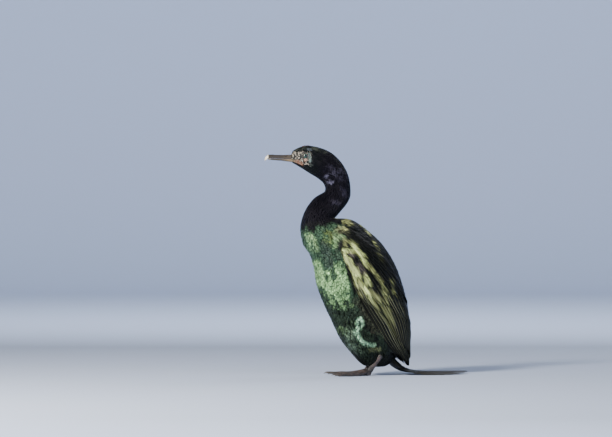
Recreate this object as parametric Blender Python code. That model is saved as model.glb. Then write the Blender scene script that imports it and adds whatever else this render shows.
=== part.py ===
"""A pelagic cormorant at life size, standing upright with its tail laid on the ground behind it.

The bird faces -X, its left side is towards -Y, and its feet and tail rest at z = 0.
Tables of rings are in millimetres, as a bird is measured; everything built is in metres.
"""

import math

import bmesh
import bpy
import numpy as np
from mathutils import Matrix, Vector

MM = 0.001
GAP = 0.3 * MM
LEFT, RIGHT = -1, 1
SIDES = {"left": LEFT, "right": RIGHT}

# Rings of the body from the bill's root to the vent.
# Each is throat side x, z, nape side x, z, and half width, in mm.
HEAD_RINGS = (
    (-133, 372, -133, 385.5, 6.5),
    (-129, 370, -130, 391.5, 9),
    (-122, 366, -121, 397, 12.5),
    (-112, 360, -109, 400.5, 15.5),
    (-102, 353.5, -95, 400, 17),
    (-91, 347, -79, 396, 17.5),
    (-82.5, 341, -63, 388.5, 17.5),
)
NECK_RINGS = (
    (-76.5, 335, -49, 376, 17),
    (-74, 329, -39, 362, 17),
    (-73.5, 324.5, -32, 345, 17),
    (-75.5, 320, -29.5, 327, 17.5),
    (-83, 316, -30, 312, 18.5),
    (-92, 310.5, -35.5, 300, 20),
    (-101, 301, -44.5, 289, 22),
    (-109, 289, -54.5, 278, 24),
)
TRUNK_RINGS = (
    (-115, 275, -57, 274, 27),
    (-118, 259, -42, 274, 33),
    (-117, 245, -24, 270, 39),
    (-112, 227.5, 0, 254, 45),
    (-100, 209, 25.5, 230, 49),
    (-93, 185.5, 42, 201, 51),
    (-88, 157.5, 54, 166, 52),
    (-76.5, 128, 65, 126, 50),
    (-61, 98, 69, 87.5, 45),
    (-42, 66.5, 66, 54, 38),
    (-22, 39.5, 54, 32, 28),
    (-6, 21, 42, 19, 18),
    (4, 14.5, 32, 14.5, 10),
)
BODY_RINGS = np.array(HEAD_RINGS + NECK_RINGS + TRUNK_RINGS, float) * MM
HEAD_END = 7.0
NECK_MIDDLE = 11.5
TRUNK_START = 15.6
TRUNK_END = len(BODY_RINGS) - 1.0
RING_POINTS = 22
RINGS_A_STEP = 1.75

# The head is turned to the bird's right, about an upright line through the upper neck.
HEAD_TURN = math.radians(14)
TURN_X = -53 * MM
TURN_END = 15.0

# Rings of the folded wings' outer surface, from the shoulder to the wing tips, laid out as the body's.
# The last two numbers are the angles, in degrees from the breast, of the wing's front and back edges.
WING_RINGS = (
    (-117, 238, -16, 267, 43, 80, 118),
    (-109, 220.5, 12, 244, 52, 73, 124),
    (-100, 206.5, 32, 226.5, 56, 69, 132),
    (-93, 184, 50, 201, 59, 67, 140),
    (-87.5, 156, 64, 167, 60, 68, 150),
    (-75.5, 126, 74, 128, 58, 70, 161),
    (-58, 96, 80, 87.5, 52, 76, 170),
    (-33, 66.5, 82, 53, 42, 83, 175),
    (4, 41, 80, 32, 29, 87, 177),
    (47, 22, 76.5, 15, 16, 92, 177),
)
WING_LENGTH = 285 * MM
# The shares of the wing's length and breadth that its core covers, and its room in the body's side.
CORE_SPANS = ((0.04, 0.84), (0.03, 0.96))
ROOM_SPANS = ((0.035, 1.04), (0.0, 0.985))
# Over this share of the wing's length its core and its room widen from the shoulder.
SHOULDER_ROUND = 0.12
# How far the wing's core lies under the outer surface, and the wing's whole thickness, along the wing.
CORE_STOPS = (0.03, 0.07, 0.12, 0.36, 0.50, 0.84)
CORE_DEPTHS = (1.5, 4.5, 8.3, 8.3, 9.2, 9.2)
WING_STOPS = (0.0, 0.10, 0.70, 0.84, 1.0)
WING_THICKS = (9.0, 13.0, 13.0, 12.0, 8.0)

# The wing's courses of feathers. Each lies over the next, from the shoulder down: the four rows of coverts,
# the inner flight feathers with the tertials, and the primaries.
# s is a share of the wing's length and t of its breadth, from the front edge to the back edge.
# Each has the count, the t of the roots and of the tips, front to back, the s of the first and the last tip,
# the length, the half width at the front and the back in mm, the lift of the tips in mm, how far the
# feathers sink for each mm towards their roots, and how far one lies above the next for each mm of spacing.
COURSES = {
    "covert_1": (6, (0.07, 0.66), (0.04, 0.69), (0.13, 0.37), 0.13, (7.8, 8.2), -0.5, 0.108, 0.15),
    "covert_2": (6, (0.07, 0.66), (0.04, 0.69), (0.235, 0.475), 0.18, (7.8, 8.2), -0.5, 0.108, 0.15),
    "covert_3": (6, (0.07, 0.66), (0.05, 0.69), (0.34, 0.58), 0.18, (7.8, 8.2), -0.5, 0.108, 0.15),
    "inner_flight": (10, (0.07, 0.93), (0.06, 0.96), (0.66, 0.93), 0.36, (6.8, 8.0), -1.4, 0.026, 0.17),
    "primary": (5, (0.06, 0.34), (0.34, 0.88), (0.90, 1.00), 0.40, (5.4, 5.2), -3.2, 0.031, 0.25),
}
# The scapulars lie along the wing's back edge in courses of two, from the shoulder down.
SCAPULAR_COURSES = 5
SCAPULAR_TIPS = (0.20, 0.64)
SCAPULAR_T = (0.81, 0.93)
SCAPULAR_LENGTH = 0.18
VANE_THICK = 0.5 * MM
QUILL_DEPTH = 1.5 * MM
# Faces within this many degrees of one plane are joined after the Booleans.
FLAT_ANGLE = 0.6
BACK_RISE = 2.6 * MM
# Where along a feather its rings of points lie. The first two are its quill, which sinks into the core.
COVERT_STOPS = (0.0, 0.10, 0.40, 0.80, 1.0)
FLIGHT_STOPS = (0.0, 0.08, 0.30, 0.62, 0.90, 1.0)
QUILL_BREADTH = 0.2

# The bill: distance forward of its root, then heights of its ridge, mouth line and underside, and half width.
BILL_ROOT_X = -133.3 * MM
BILL_RINGS = (
    (0, 385.3, 377.0, 372.2, 6.2),
    (8, 385.0, 377.6, 373.4, 5.4),
    (17, 384.8, 378.2, 374.5, 4.6),
    (26, 385.0, 378.6, 375.2, 4.1),
    (33, 385.5, 378.9, 375.8, 3.9),
    (38, 385.2, 379.0, 376.2, 3.7),
    (40, 384.6, 379.0, 376.6, 3.4),
)
HOOK_RINGS = (
    # distance forward, ridge height, lower edge height, half width
    (42, 383.6, 376.8, 3.0),
    (44.2, 381.6, 375.4, 2.4),
    (45.8, 379.4, 374.8, 1.6),
)
BILL_ROUND = 12
GROOVE_HEIGHT = 0.45
GROOVE_DEPTH = 0.14

EYE_AT = Vector((-108.5, 0, 383)) * MM
EYE_RADIUS = 5.2 * MM
EYE_INSET = 3.2 * MM
LID_RADIUS = 4.5 * MM
LID_THICK = 1.0 * MM
GAPE_AT = (-104.0 * MM, 366.5 * MM)
GAPE_GROOVE = 0.5 * MM
CREST_COUNT = 5

# The thigh's feathered lobe, from its top to the ankle: centre x, z, half depth and half width, in mm.
THIGH_RINGS = (
    (-40, 110, 6, 4),
    (-35, 100, 15, 11),
    (-28, 83, 21, 16),
    (-19, 65, 22, 17),
    (-9, 47, 19, 15),
    (0, 32, 14, 11),
    (6, 21, 9, 7),
    (8, 17, 5, 4),
)
THIGH_Y = 25 * MM
THIGH_DEPTH_LEAN = math.radians(24)
# How far behind the left leg each leg stands.
STANCE = {LEFT: 0.0, RIGHT: 12 * MM}

FOOT_X = -2 * MM
FOOT_Y = 27 * MM
FOOT_Z = 7 * MM
PAD_RADIUS = 6.5 * MM
SHANK_LEAN = Vector((0.62, 0, 0.78))
SHANK_LENGTH = 30 * MM
STUB_LENGTH = 5 * MM
# The toes from the hind toe round to the outer one: length and half thickness in mm, turn outward in degrees.
TOES = {
    "hind": (24, 2.6, -78),
    "inner": (42, 3.0, -30),
    "middle": (61, 3.3, -3),
    "outer": (68, 3.1, 24),
}
TOE_STEPS = 6
CLAW_LENGTH = 9 * MM
WEB_THICK = 1.2 * MM
WEB_HEIGHT = 2.3 * MM
WEB_HOLLOW = 0.13
FOOT_TURN = math.radians(4)

# The tail's upper line, from inside the rump to the tip of the middle feathers, x and z in mm.
TAIL_LINE = ((24, 44), (38, 27), (50, 16), (62, 8.5), (78, 3.2), (100, 0.3), (140, -0.4), (192, -0.4))
TAIL_STOPS = (0.10, 0.18, 0.26, 0.36)
TAIL_PAD_END = 0.24
RECTRICES = 12
RECTRIX_ROOT_SPREAD = 2.0 * MM
RECTRIX_TIP_SPREAD = 8.5 * MM
RECTRIX_HALF_WIDTH = 7.0 * MM
RECTRIX_STACK = 0.85 * MM
TAIL_WEDGE = 0.30
TAIL_COVERTS = 5
TAIL_ROOM_HEIGHT = 8.8 * MM

# Colours as linear red, green, blue, then roughness and metallic.
FINISHES = {
    "plumage_black": ((0.008, 0.009, 0.013), 0.38, 0.3),
    "plumage_green": ((0.020, 0.085, 0.045), 0.40, 0.4),
    "plumage_bronze": ((0.045, 0.050, 0.022), 0.42, 0.4),
    "plumage_tail": ((0.012, 0.013, 0.012), 0.50, 0.1),
    "bill_horn": ((0.17, 0.13, 0.085), 0.42, 0.0),
    "eye_green": ((0.01, 0.16, 0.08), 0.08, 0.0),
    "foot_skin": ((0.035, 0.028, 0.026), 0.50, 0.0),
    "claw_horn": ((0.09, 0.075, 0.06), 0.40, 0.0),
}


def smooth(x):
    """The usual S-shaped step from 0 to 1."""
    x = min(1.0, max(0.0, x))
    return x * x * (3 - 2 * x)


def row_at(table, k):
    """The row of a table at the fractional index k, along a smooth curve through its rows."""
    last = len(table) - 1
    i = min(last - 1, max(0, int(math.floor(k))))
    f = k - i
    before, after = table[max(0, i - 1)], table[min(last, i + 2)]
    a, b = table[i], table[i + 1]
    return 0.5 * (
        2 * a + (b - before) * f + (2 * before - 5 * a + 4 * b - after) * f**2
        + (3 * a - before - 3 * b + after) * f**3
    )


def finish(name):
    """One material a finish, made when it is first asked for."""
    if name in bpy.data.materials:
        return bpy.data.materials[name]
    colour, roughness, metallic = FINISHES[name]
    material = bpy.data.materials.new(name)
    material.use_nodes = True
    shader = material.node_tree.nodes["Principled BSDF"]
    shader.inputs["Base Color"].default_value = (*colour, 1)
    shader.inputs["Roughness"].default_value = roughness
    shader.inputs["Metallic"].default_value = metallic
    return material


def object_from(bm, name, material=None):
    """Closes a bmesh's normals outward and makes it an object of the scene."""
    bmesh.ops.recalc_face_normals(bm, faces=bm.faces[:])
    mesh = bpy.data.meshes.new(name)
    bm.to_mesh(mesh)
    bm.free()
    mesh.shade_smooth()
    mesh.set_sharp_from_angle(angle=math.radians(40))
    if material:
        mesh.materials.append(finish(material))
    made = bpy.data.objects.new(name, mesh)
    bpy.context.scene.collection.objects.link(made)
    return made


def tube(name, rings, material=None):
    """A closed skin over rings of points, all with the same count, with a face over each end."""
    around = len(rings[0])
    bm = bmesh.new()
    bmesh.ops.create_grid(bm, x_segments=around, y_segments=len(rings) - 1, size=1)
    bm.verts.ensure_lookup_table()
    for row, ring in enumerate(rings):
        for column in range(around + 1):
            bm.verts[row * (around + 1) + column].co = ring[column % around]
    bmesh.ops.remove_doubles(bm, verts=bm.verts[:], dist=1e-6)
    open_edges = [edge for edge in bm.edges if edge.is_boundary]
    bmesh.ops.holes_fill(bm, edges=open_edges, sides=0)
    bmesh.ops.triangulate(bm, faces=bm.faces[:])
    return object_from(bm, name, material)


def settle(part):
    """Replaces an object's mesh by what its modifiers make, and takes the modifiers off."""
    bpy.context.view_layer.update()
    graph = bpy.context.evaluated_depsgraph_get()
    mesh = bpy.data.meshes.new_from_object(part.evaluated_get(graph))
    old = part.data
    part.modifiers.clear()
    part.data = mesh
    bpy.data.meshes.remove(old)


def remove(*parts):
    for part in parts:
        bpy.data.objects.remove(part, do_unlink=True)


def fuse(part, pieces):
    """Joins the pieces to the part with one Boolean union, and removes them."""
    group = bpy.data.collections.new(part.name + "_pieces")
    bpy.context.scene.collection.children.link(group)
    for piece in pieces:
        group.objects.link(piece)
        bpy.context.scene.collection.objects.unlink(piece)
    union = part.modifiers.new("union", "BOOLEAN")
    union.operation = "UNION"
    union.operand_type = "COLLECTION"
    union.collection = group
    union.solver = "MANIFOLD"
    settle(part)
    remove(*pieces)
    bpy.data.collections.remove(group)
    keep_largest(part)
    return part


def cut(part, *cutters):
    """Takes the cutters' shapes out of the part."""
    for cutter in cutters:
        difference = part.modifiers.new("difference", "BOOLEAN")
        difference.operation = "DIFFERENCE"
        difference.object = cutter
        difference.solver = "MANIFOLD"
        settle(part)
    keep_largest(part)
    return part


def keep_largest(part):
    """Drops every closed surface of the part but the largest."""
    bm = bmesh.new()
    bm.from_mesh(part.data)
    unseen = set(bm.verts)
    shells = []
    while unseen:
        shell = {unseen.pop()}
        edge_of_shell = list(shell)
        while edge_of_shell:
            near = {e.other_vert(v) for v in edge_of_shell for e in v.link_edges} & unseen
            unseen -= near
            shell |= near
            edge_of_shell = list(near)
        shells.append(shell)
    largest = max(shells, key=len)
    loose = [v for v in bm.verts if v not in largest]
    bmesh.ops.delete(bm, geom=loose, context="VERTS")
    bm.to_mesh(part.data)
    bm.free()


def turned(point, share):
    """A point of the head or neck, swung by a share of the head's turn."""
    swing = Matrix.Rotation(-HEAD_TURN * share, 3, "Z")
    axis = Vector((TURN_X, 0, 0))
    return axis + swing @ (Vector(point) - axis)


def ring_point(row, angle, side=RIGHT, grow=0.0):
    """A point of one ring, at an angle from the breast or throat round to the back."""
    front = Vector((row[0], 0, row[1]))
    back = Vector((row[2], 0, row[3]))
    centre, half = (front + back) / 2, (front - back) / 2
    reach = half + half.normalized() * grow
    across = Vector((0, side * (row[4] + grow), 0))
    return centre + reach * math.cos(angle) + across * math.sin(angle)


def body_point(k, angle, grow=0.0):
    """A point on the body's surface, at ring k."""
    share = smooth((TURN_END - k) / (TURN_END - HEAD_END))
    return turned(ring_point(row_at(BODY_RINGS, k), angle, RIGHT, grow), share)


def body_tube(name, start, end, material=None, grow=0.0, shrink_ends=GAP / 2):
    """A length of the body, with its ends drawn in so that the next length meets it across a thin gap."""
    steps = round((end - start) * RINGS_A_STEP)
    rings = []
    for i in range(steps + 1):
        k = start + (end - start) * i / steps
        rings.append([
            body_point(k, math.tau * j / RING_POINTS, grow) for j in range(RING_POINTS)
        ])
    for ring, inner in ((rings[0], rings[1]), (rings[-1], rings[-2])):
        middle = sum(ring, Vector()) / RING_POINTS
        away = (sum(inner, Vector()) / RING_POINTS - middle).normalized()
        normal = (ring[0] - middle).cross(ring[RING_POINTS // 4] - middle).normalized()
        if normal.dot(away) < 0:
            normal.negate()
        for point in ring:
            point += normal * shrink_ends
    return tube(name, rings, material)


def wing_row(s):
    return row_at(np.array(WING_RINGS, float), s * (len(WING_RINGS) - 1))


def wing_raw(s, t, side):
    row = wing_row(s)
    ring = np.concatenate([row[:5] * MM, row[5:]])
    return ring_point(ring, math.radians(row[5] + (row[6] - row[5]) * t), side)


def wing_point(s, t, lift, side):
    """A point over the folded wing: s runs from shoulder to tip, t from the front edge to the back edge."""
    step = 0.01
    here = wing_raw(s, t, side)
    along = wing_raw(s + step, t, side) - wing_raw(s - step, t, side)
    across = wing_raw(s, t + step, side) - wing_raw(s, t - step, side)
    normal = along.cross(across).normalized()
    if normal.dot(Vector((0.3, side, 0))) < 0:
        normal.negate()
    return here + normal * lift


def wing_breadth(s, side):
    """How far it is over the wing from its front edge to its back edge."""
    stops = [wing_raw(s, t / 8, side) for t in range(9)]
    return sum((b - a).length for a, b in zip(stops, stops[1:]))


def along_wing(s, stops, values):
    return float(np.interp(s, stops, values)) * MM


def wing_slab(name, side, spans, top, under, steps=11, across=6):
    """A closed slab, round at the shoulder, that follows the wing between two lifts given as functions of s."""
    (s0, s1), (t0, t1) = spans
    middle = (t0 + t1) / 2
    rings = []
    for i in range(steps + 1):
        s = s0 + (s1 - s0) * (i / steps) ** 1.3
        inward = max(0.0, 1 - (s - s0) / SHOULDER_ROUND)
        narrow = 0.3 + 0.7 * math.sqrt(1 - inward**2)
        shares = [middle + (t1 - t0) * narrow * (j / (across - 1) - 0.5) for j in range(across)]
        outer = [wing_point(s, t, top(s, t), side) for t in shares]
        inner = [wing_point(s, t, under(s, t), side) for t in reversed(shares)]
        rings.append(outer + inner)
    return tube(name, rings)


def wing_core(side):
    """The arm and hand of the folded wing, under its feathers."""

    def top(s, t):
        round_edge = 1.5 * MM * (abs(2 * t - 1) ** 6 + (abs(s / 0.42 - 1) if s < 0.42 else 0) ** 8)
        return -along_wing(s, CORE_STOPS, CORE_DEPTHS) - round_edge

    def under(s, t):
        return -along_wing(s, WING_STOPS, WING_THICKS)

    return wing_slab("core", side, CORE_SPANS, top, under)


def wing_room(side, grow):
    """The space that the folded wing takes up in the body's side, grown on every side."""

    def top(s, t):
        return 20 * MM

    def under(s, t):
        return -along_wing(s, WING_STOPS, WING_THICKS) - grow

    (s0, s1), (t0, t1) = ROOM_SPANS
    share_s, share_t = grow / WING_LENGTH, grow / (60 * MM)
    spans = ((s0 - share_s, s1 + share_s), (t0 - share_t, t1 + share_t))
    return wing_slab("room", side, spans, top, under, steps=16)


def sheet_vane(place, stops, thick=VANE_THICK, halves=1):
    """A thin feather vane: place(u, v) puts a point u along it and v, from -1 to 1, across it."""
    bm = bmesh.new()
    bmesh.ops.create_grid(bm, x_segments=len(stops) - 1, y_segments=halves, size=1)
    for vert in bm.verts:
        row = round((vert.co.x + 1) / 2 * (len(stops) - 1))
        vert.co = place(stops[row], vert.co.y)
    bmesh.ops.triangulate(bm, faces=bm.faces[:], quad_method="FIXED")
    bmesh.ops.solidify(bm, geom=bm.faces[:], thickness=thick)
    return object_from(bm, "vane")


def vane_breadth(u):
    """The half width along a feather, as a share of its widest: narrow at the root, round at the tip."""
    widening = QUILL_BREADTH + (1 - QUILL_BREADTH) * smooth((u - 0.06) / 0.3)
    return widening * math.sqrt(max(0.0, 1 - max(0.0, (u - 0.6) / 0.42) ** 3))


def between(span, f):
    return span[0] + (span[1] - span[0]) * f


def wing_vane(side, tip_line, root, tip, half, lifts, stops):
    """One feather on the wing. Its lift follows its course, so that it keeps clear of its neighbours."""
    tip_lift, slope, shingle = lifts

    def place(u, v):
        reach = u - 0.05 * v * v * smooth((u - 0.6) / 0.4)
        s, middle = between((root[0], tip[0]), reach), between((root[1], tip[1]), u)
        breadth = wing_breadth(s, side)
        t = min(0.997, middle + v * half * vane_breadth(u) / breadth)
        lift = tip_lift * MM - slope * (tip_line(t) - s) * WING_LENGTH
        lift += shingle * (middle - t) * breadth
        lift += BACK_RISE * smooth((t - 0.66) / 0.3) * smooth((s - 0.3) / 0.3)
        root_lift = -along_wing(s, CORE_STOPS, CORE_DEPTHS) - QUILL_DEPTH
        return wing_point(s, t, between((root_lift, lift), smooth(u / 0.08)), side)

    return sheet_vane(place, stops)


def wing_vanes(side):
    """Every course of one wing's feathers: coverts, flight feathers, and the scapulars on its back edge."""
    vanes = []
    for name, (count, root_t, tip_t, tip_s, length, halves, *lifts) in COURSES.items():

        def tip_line(t):
            return between(tip_s, (t - tip_t[0]) / (tip_t[1] - tip_t[0]))

        for i in range(count):
            f = i / (count - 1)
            tip = (between(tip_s, f), between(tip_t, f))
            root = (max(0.02, tip[0] - length), between(root_t, f))
            stops = COVERT_STOPS if name.startswith("covert") else FLIGHT_STOPS
            vanes.append(wing_vane(side, tip_line, root, tip, between(halves, f) * MM, lifts, stops))
    for i in range(SCAPULAR_COURSES):
        tip_s = between(SCAPULAR_TIPS, i / (SCAPULAR_COURSES - 1))
        for t in SCAPULAR_T:
            root = (max(0.02, tip_s - SCAPULAR_LENGTH), t)
            lifts = (-0.5, 0.108, 0.15)
            vanes.append(wing_vane(side, lambda t: tip_s, root, (tip_s, t), 7.0 * MM, lifts, COVERT_STOPS))
    return vanes


def wing(name, side, cutters):
    """One folded wing, cut back from the body, the thigh and the tail under it."""
    part = wing_core(side)
    fuse(part, wing_vanes(side))
    cut(part, *cutters)
    simplify(part)
    return renamed(part, name, "plumage_bronze")


def simplify(part):
    """Joins the flat slivers that the Booleans leave within one plane."""
    bm = bmesh.new()
    bm.from_mesh(part.data)
    bmesh.ops.dissolve_limit(
        bm, angle_limit=math.radians(FLAT_ANGLE), verts=bm.verts[:], edges=bm.edges[:], delimit=set()
    )
    bmesh.ops.triangulate(bm, faces=bm.faces[:])
    bm.to_mesh(part.data)
    bm.free()


def renamed(part, name, material):
    part.name = name
    part.data.name = name
    part.data.materials.clear()
    part.data.materials.append(finish(material))
    return part


def bill_ring(x, ridge, edge, half_width, points, downward):
    """A ring of the bill: an arch over the mouth line, or under it for the lower bill, closed by a flat."""
    arch = points - 3
    ring = []
    for i in range(arch + 1):
        angle = math.pi * i / arch
        rise = math.sin(angle) ** 0.8 if 0 < i < arch else 0.0
        pinch = 0.0 if downward else GROOVE_DEPTH * math.exp(-(((rise - GROOVE_HEIGHT) / 0.16) ** 2))
        y = half_width * math.cos(angle) * (1 - pinch)
        ring.append(turned((x, y, edge + (ridge - edge) * rise), 1.0))
    for share in (-0.5, 0.5):
        ring.append(turned((x, half_width * share, edge), 1.0))
    return ring


def bill_upper():
    rings = [
        bill_ring(BILL_ROOT_X - x * MM - GAP, ridge * MM, edge * MM + GAP / 2, half * MM, BILL_ROUND, False)
        for x, ridge, edge, _, half in BILL_RINGS
    ]
    rings += [
        bill_ring(BILL_ROOT_X - x * MM, ridge * MM, edge * MM, half * MM, BILL_ROUND, False)
        for x, ridge, edge, half in HOOK_RINGS
    ]
    part = tube("bill_upper", rings, "bill_horn")
    slits = []
    for side in SIDES.values():
        bm = bmesh.new()
        bmesh.ops.create_cube(bm, size=1)
        size = Matrix.Diagonal((6 * MM, 1.6 * MM, 0.6 * MM, 1))
        bmesh.ops.transform(bm, matrix=size, verts=bm.verts[:])
        for vert in bm.verts:
            vert.co = turned(vert.co + Vector((-141 * MM, side * 5.2 * MM, 381.2 * MM)), 1.0)
        slits.append(object_from(bm, "slit"))
    cut(part, *slits)
    remove(*slits)
    return part


def bill_lower():
    rings = []
    for x, _, edge, under, half in BILL_RINGS:
        place = BILL_ROOT_X - x * MM - GAP
        narrower = half * 0.93 * MM
        rings.append(bill_ring(place, under * MM, edge * MM - GAP / 2, narrower, BILL_ROUND, True))
    return tube("bill_lower", rings, "bill_horn")


def ball(name, centre, radius, material=None):
    bm = bmesh.new()
    bmesh.ops.create_uvsphere(bm, u_segments=14, v_segments=8, radius=radius)
    turn = Matrix.Rotation(math.pi / 2, 4, "X")
    bmesh.ops.transform(bm, matrix=turn, verts=bm.verts[:])
    for vert in bm.verts:
        vert.co = turned(vert.co + centre, 1.0)
    bmesh.ops.triangulate(bm, faces=bm.faces[:])
    return object_from(bm, name, material)


def eye_row():
    """Which ring of the head the eye sits on, and its angle there."""
    table = BODY_RINGS[: len(HEAD_RINGS)]
    best = min(
        (abs(row_at(table, k / 50)[0] * 0.42 + row_at(table, k / 50)[2] * 0.58 - EYE_AT.x), k / 50)
        for k in range(50 * (len(HEAD_RINGS) - 1))
    )
    return best[1]


def eye_centre(side):
    """The middle of the eyeball, set in from the side of the head."""
    row = row_at(BODY_RINGS, eye_row())
    middle = Vector(((row[0] + row[2]) / 2, 0, (row[1] + row[3]) / 2))
    half = Vector(((row[0] - row[2]) / 2, 0, (row[1] - row[3]) / 2)).length
    rise = (EYE_AT - middle).length / half
    surface = row[4] * math.sqrt(1 - rise**2)
    return Vector((EYE_AT.x, side * (surface - EYE_INSET), EYE_AT.z))


def lid(side):
    """A soft ring round the eye, lying on the side of the head."""
    centre = eye_centre(side)
    rings = []
    around, thick = 14, 5
    for i in range(around):
        a = math.tau * i / around
        out = Vector((math.cos(a), 0, 0.86 * math.sin(a)))
        middle = centre + out * LID_RADIUS + Vector((0, side * (EYE_INSET - 0.5 * MM), 0))
        ring = []
        for j in range(thick):
            b = math.tau * j / thick
            offset = out * math.cos(b) + Vector((0, side, 0)) * 0.8 * math.sin(b)
            ring.append(turned(middle + offset * LID_THICK, 1.0))
        rings.append(ring)
    bm = bmesh.new()
    bmesh.ops.create_grid(bm, x_segments=thick, y_segments=around, size=1)
    bm.verts.ensure_lookup_table()
    for row in range(around + 1):
        for column in range(thick + 1):
            bm.verts[row * (thick + 1) + column].co = rings[row % around][column % thick]
    bmesh.ops.remove_doubles(bm, verts=bm.verts[:], dist=1e-6)
    bmesh.ops.triangulate(bm, faces=bm.faces[:])
    return object_from(bm, "lid")


def head_side(x, z):
    """The half width of the head at a place in its side view."""
    best = None
    for i in range(0, 121):
        row = row_at(BODY_RINGS, i / 20)
        front, back = Vector((row[0], row[1])), Vector((row[2], row[3]))
        half = (front - back) / 2
        offset = Vector((x, z)) - (front + back) / 2
        share = offset.dot(half) / half.length_squared
        miss = (offset - half * share).length
        if abs(share) < 1 and (best is None or miss < best[0]):
            best = (miss, row[4] * math.sqrt(1 - share**2))
    return best[1] if best else 0.0


def gape_cutter(side):
    """A narrow trough along the line of the mouth, from the bill's root back to the gape."""
    rings = []
    start = (BILL_ROOT_X - 0.5 * MM, 377.0 * MM)
    for i in range(9):
        f = i / 8
        x = start[0] + (GAPE_AT[0] - start[0]) * f
        z = start[1] + (GAPE_AT[1] - start[1]) * f**1.3
        y = head_side(max(x, BILL_ROOT_X + 0.4 * MM), z)
        half = GAPE_GROOVE * (1 - 0.6 * f) / 2 + 0.1 * MM
        ring = []
        for dy, dz in ((-1.3 * MM, 0.0), (1.5 * MM, -half * 2), (1.5 * MM, half * 2)):
            ring.append(turned((x, side * (y + dy), z + dz), 1.0))
        rings.append(ring)
    return tube("gape", rings)


def crest_vanes():
    """A few feathers that stand a little off the crown, as in breeding dress."""
    vanes = []
    for i in range(CREST_COUNT):
        f = i / (CREST_COUNT - 1)
        k0 = 2.4 + 0.8 * f
        lean = math.pi + 0.16 * math.sin(2.4 * i)

        def place(u, v):
            k = k0 + 0.8 * u
            angle = lean + v * 0.11 * (1 - 0.7 * u * u)
            return body_point(k, angle, (-1.2 + 2.6 * u) * MM)

        vanes.append(sheet_vane(place, (0.0, 0.35, 0.7, 1.0), 0.6 * MM))
    return vanes


def head():
    part = body_tube("head", 0.0, HEAD_END, "plumage_black")
    fuse(part, [lid(LEFT), lid(RIGHT)] + crest_vanes())
    cutters = [ball("socket", eye_centre(side), EYE_RADIUS + GAP) for side in SIDES.values()]
    cutters += [gape_cutter(side) for side in SIDES.values()]
    cut(part, *cutters)
    remove(*cutters)
    simplify(part)
    return renamed(part, "head", "plumage_black")


def thigh_rings(side, grow=0.0, around=12):
    """The lobe's rings, leaning with the belly. Growing it pushes its surface out on every side."""
    table = np.array(THIGH_RINGS, float) * MM
    lean = Vector((math.cos(THIGH_DEPTH_LEAN), 0, math.sin(THIGH_DEPTH_LEAN)))
    rings = []
    last = len(THIGH_RINGS) - 1
    for i in range(2 * last + 1):
        x, z, deep, wide = row_at(table, i / 2)
        ends = grow * (-1 if i == 0 else 1 if i == 2 * last else 0)
        middle = Vector((x + STANCE[side], side * THIGH_Y * (1 - 0.12 * i / (2 * last)), z - ends))
        rings.append([
            middle + lean * (deep + grow) * math.cos(a) + Vector((0, (wide + grow) * math.sin(a), 0))
            for a in [math.tau * j / around for j in range(around)]
        ])
    return rings


def foot_frame(side):
    """Where a foot's joint is, and which way its middle line points."""
    joint = Vector((FOOT_X + STANCE[side], side * FOOT_Y, FOOT_Z))
    forward = Vector((-math.cos(FOOT_TURN), side * math.sin(FOOT_TURN), 0))
    return joint, forward


def toe_line(side, name, u):
    """A point on a toe's centre line, u from the joint to the claw."""
    length, thick, turn = TOES[name]
    joint, forward = foot_frame(side)
    heading = Matrix.Rotation(-side * math.radians(turn), 3, "Z") @ forward
    sweep = Matrix.Rotation(side * math.radians(turn) * 0.25 * u, 3, "Z") @ heading
    height = thick * MM * 0.85 + (FOOT_Z - thick * MM * 0.85) * (1 - smooth(u / 0.42))
    flat = joint + sweep * length * MM * u
    return Vector((flat.x, flat.y, height))


def toe_radius(name, u):
    """A toe thins towards its claw, and swells at each of its joints."""
    thick = TOES[name][1] * MM
    knuckle = 1 + 0.10 * math.cos(math.tau * u * 3.0)
    return thick * (1.15 - 0.45 * u) * knuckle


def pipe_ring(middle, along, radius, flat=1.0, points=6):
    side_way = along.cross(Vector((0, 0, 1)))
    side_way = side_way.normalized() if side_way.length > 1e-6 else Vector((0, 1, 0))
    up = side_way.cross(along).normalized()
    return [
        middle + side_way * radius * flat * math.cos(a) + up * radius * math.sin(a)
        for a in [math.tau * (j + 0.5) / points for j in range(points)]
    ]


def toe(side, name):
    rings = []
    for i in range(TOE_STEPS + 1):
        u = i / TOE_STEPS
        along = toe_line(side, name, min(1.0, u + 0.05)) - toe_line(side, name, max(0.0, u - 0.05))
        rings.append(pipe_ring(toe_line(side, name, u), along.normalized(), toe_radius(name, u)))
    return tube("toe", rings)


def web(side, first, second):
    """The skin between two toes, with a hollow front edge."""

    def place(u, v):
        f = (1.06 * v + 1) / 2
        reach = 0.04 + 0.93 * u * (1 - WEB_HOLLOW * max(0, 4 * f * (1 - f)) * u)
        a, b = toe_line(side, first, reach), toe_line(side, second, reach)
        point = a.lerp(b, f)
        droop = smooth(u / 0.4)
        point.z = point.z + (WEB_HEIGHT - point.z) * droop
        return point

    return sheet_vane(place, [i / 5 for i in range(6)], WEB_THICK, halves=2)


def shank_line(side, distance):
    joint, _ = foot_frame(side)
    return joint + Vector((0, 0, 1.5 * MM)) + SHANK_LEAN.normalized() * distance


def shank_ring(side, distance, radius):
    return pipe_ring(shank_line(side, distance), SHANK_LEAN.normalized(), radius, 0.8)


def ground_cutter():
    """Everything below the ground, so that what rests on it is cut flat."""
    bm = bmesh.new()
    bmesh.ops.create_cube(bm, size=1)
    place = Matrix.Translation((0, 0, -0.05)) @ Matrix.Diagonal((1, 1, 0.1, 1))
    bmesh.ops.transform(bm, matrix=place, verts=bm.verts[:])
    return object_from(bm, "ground")


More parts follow.
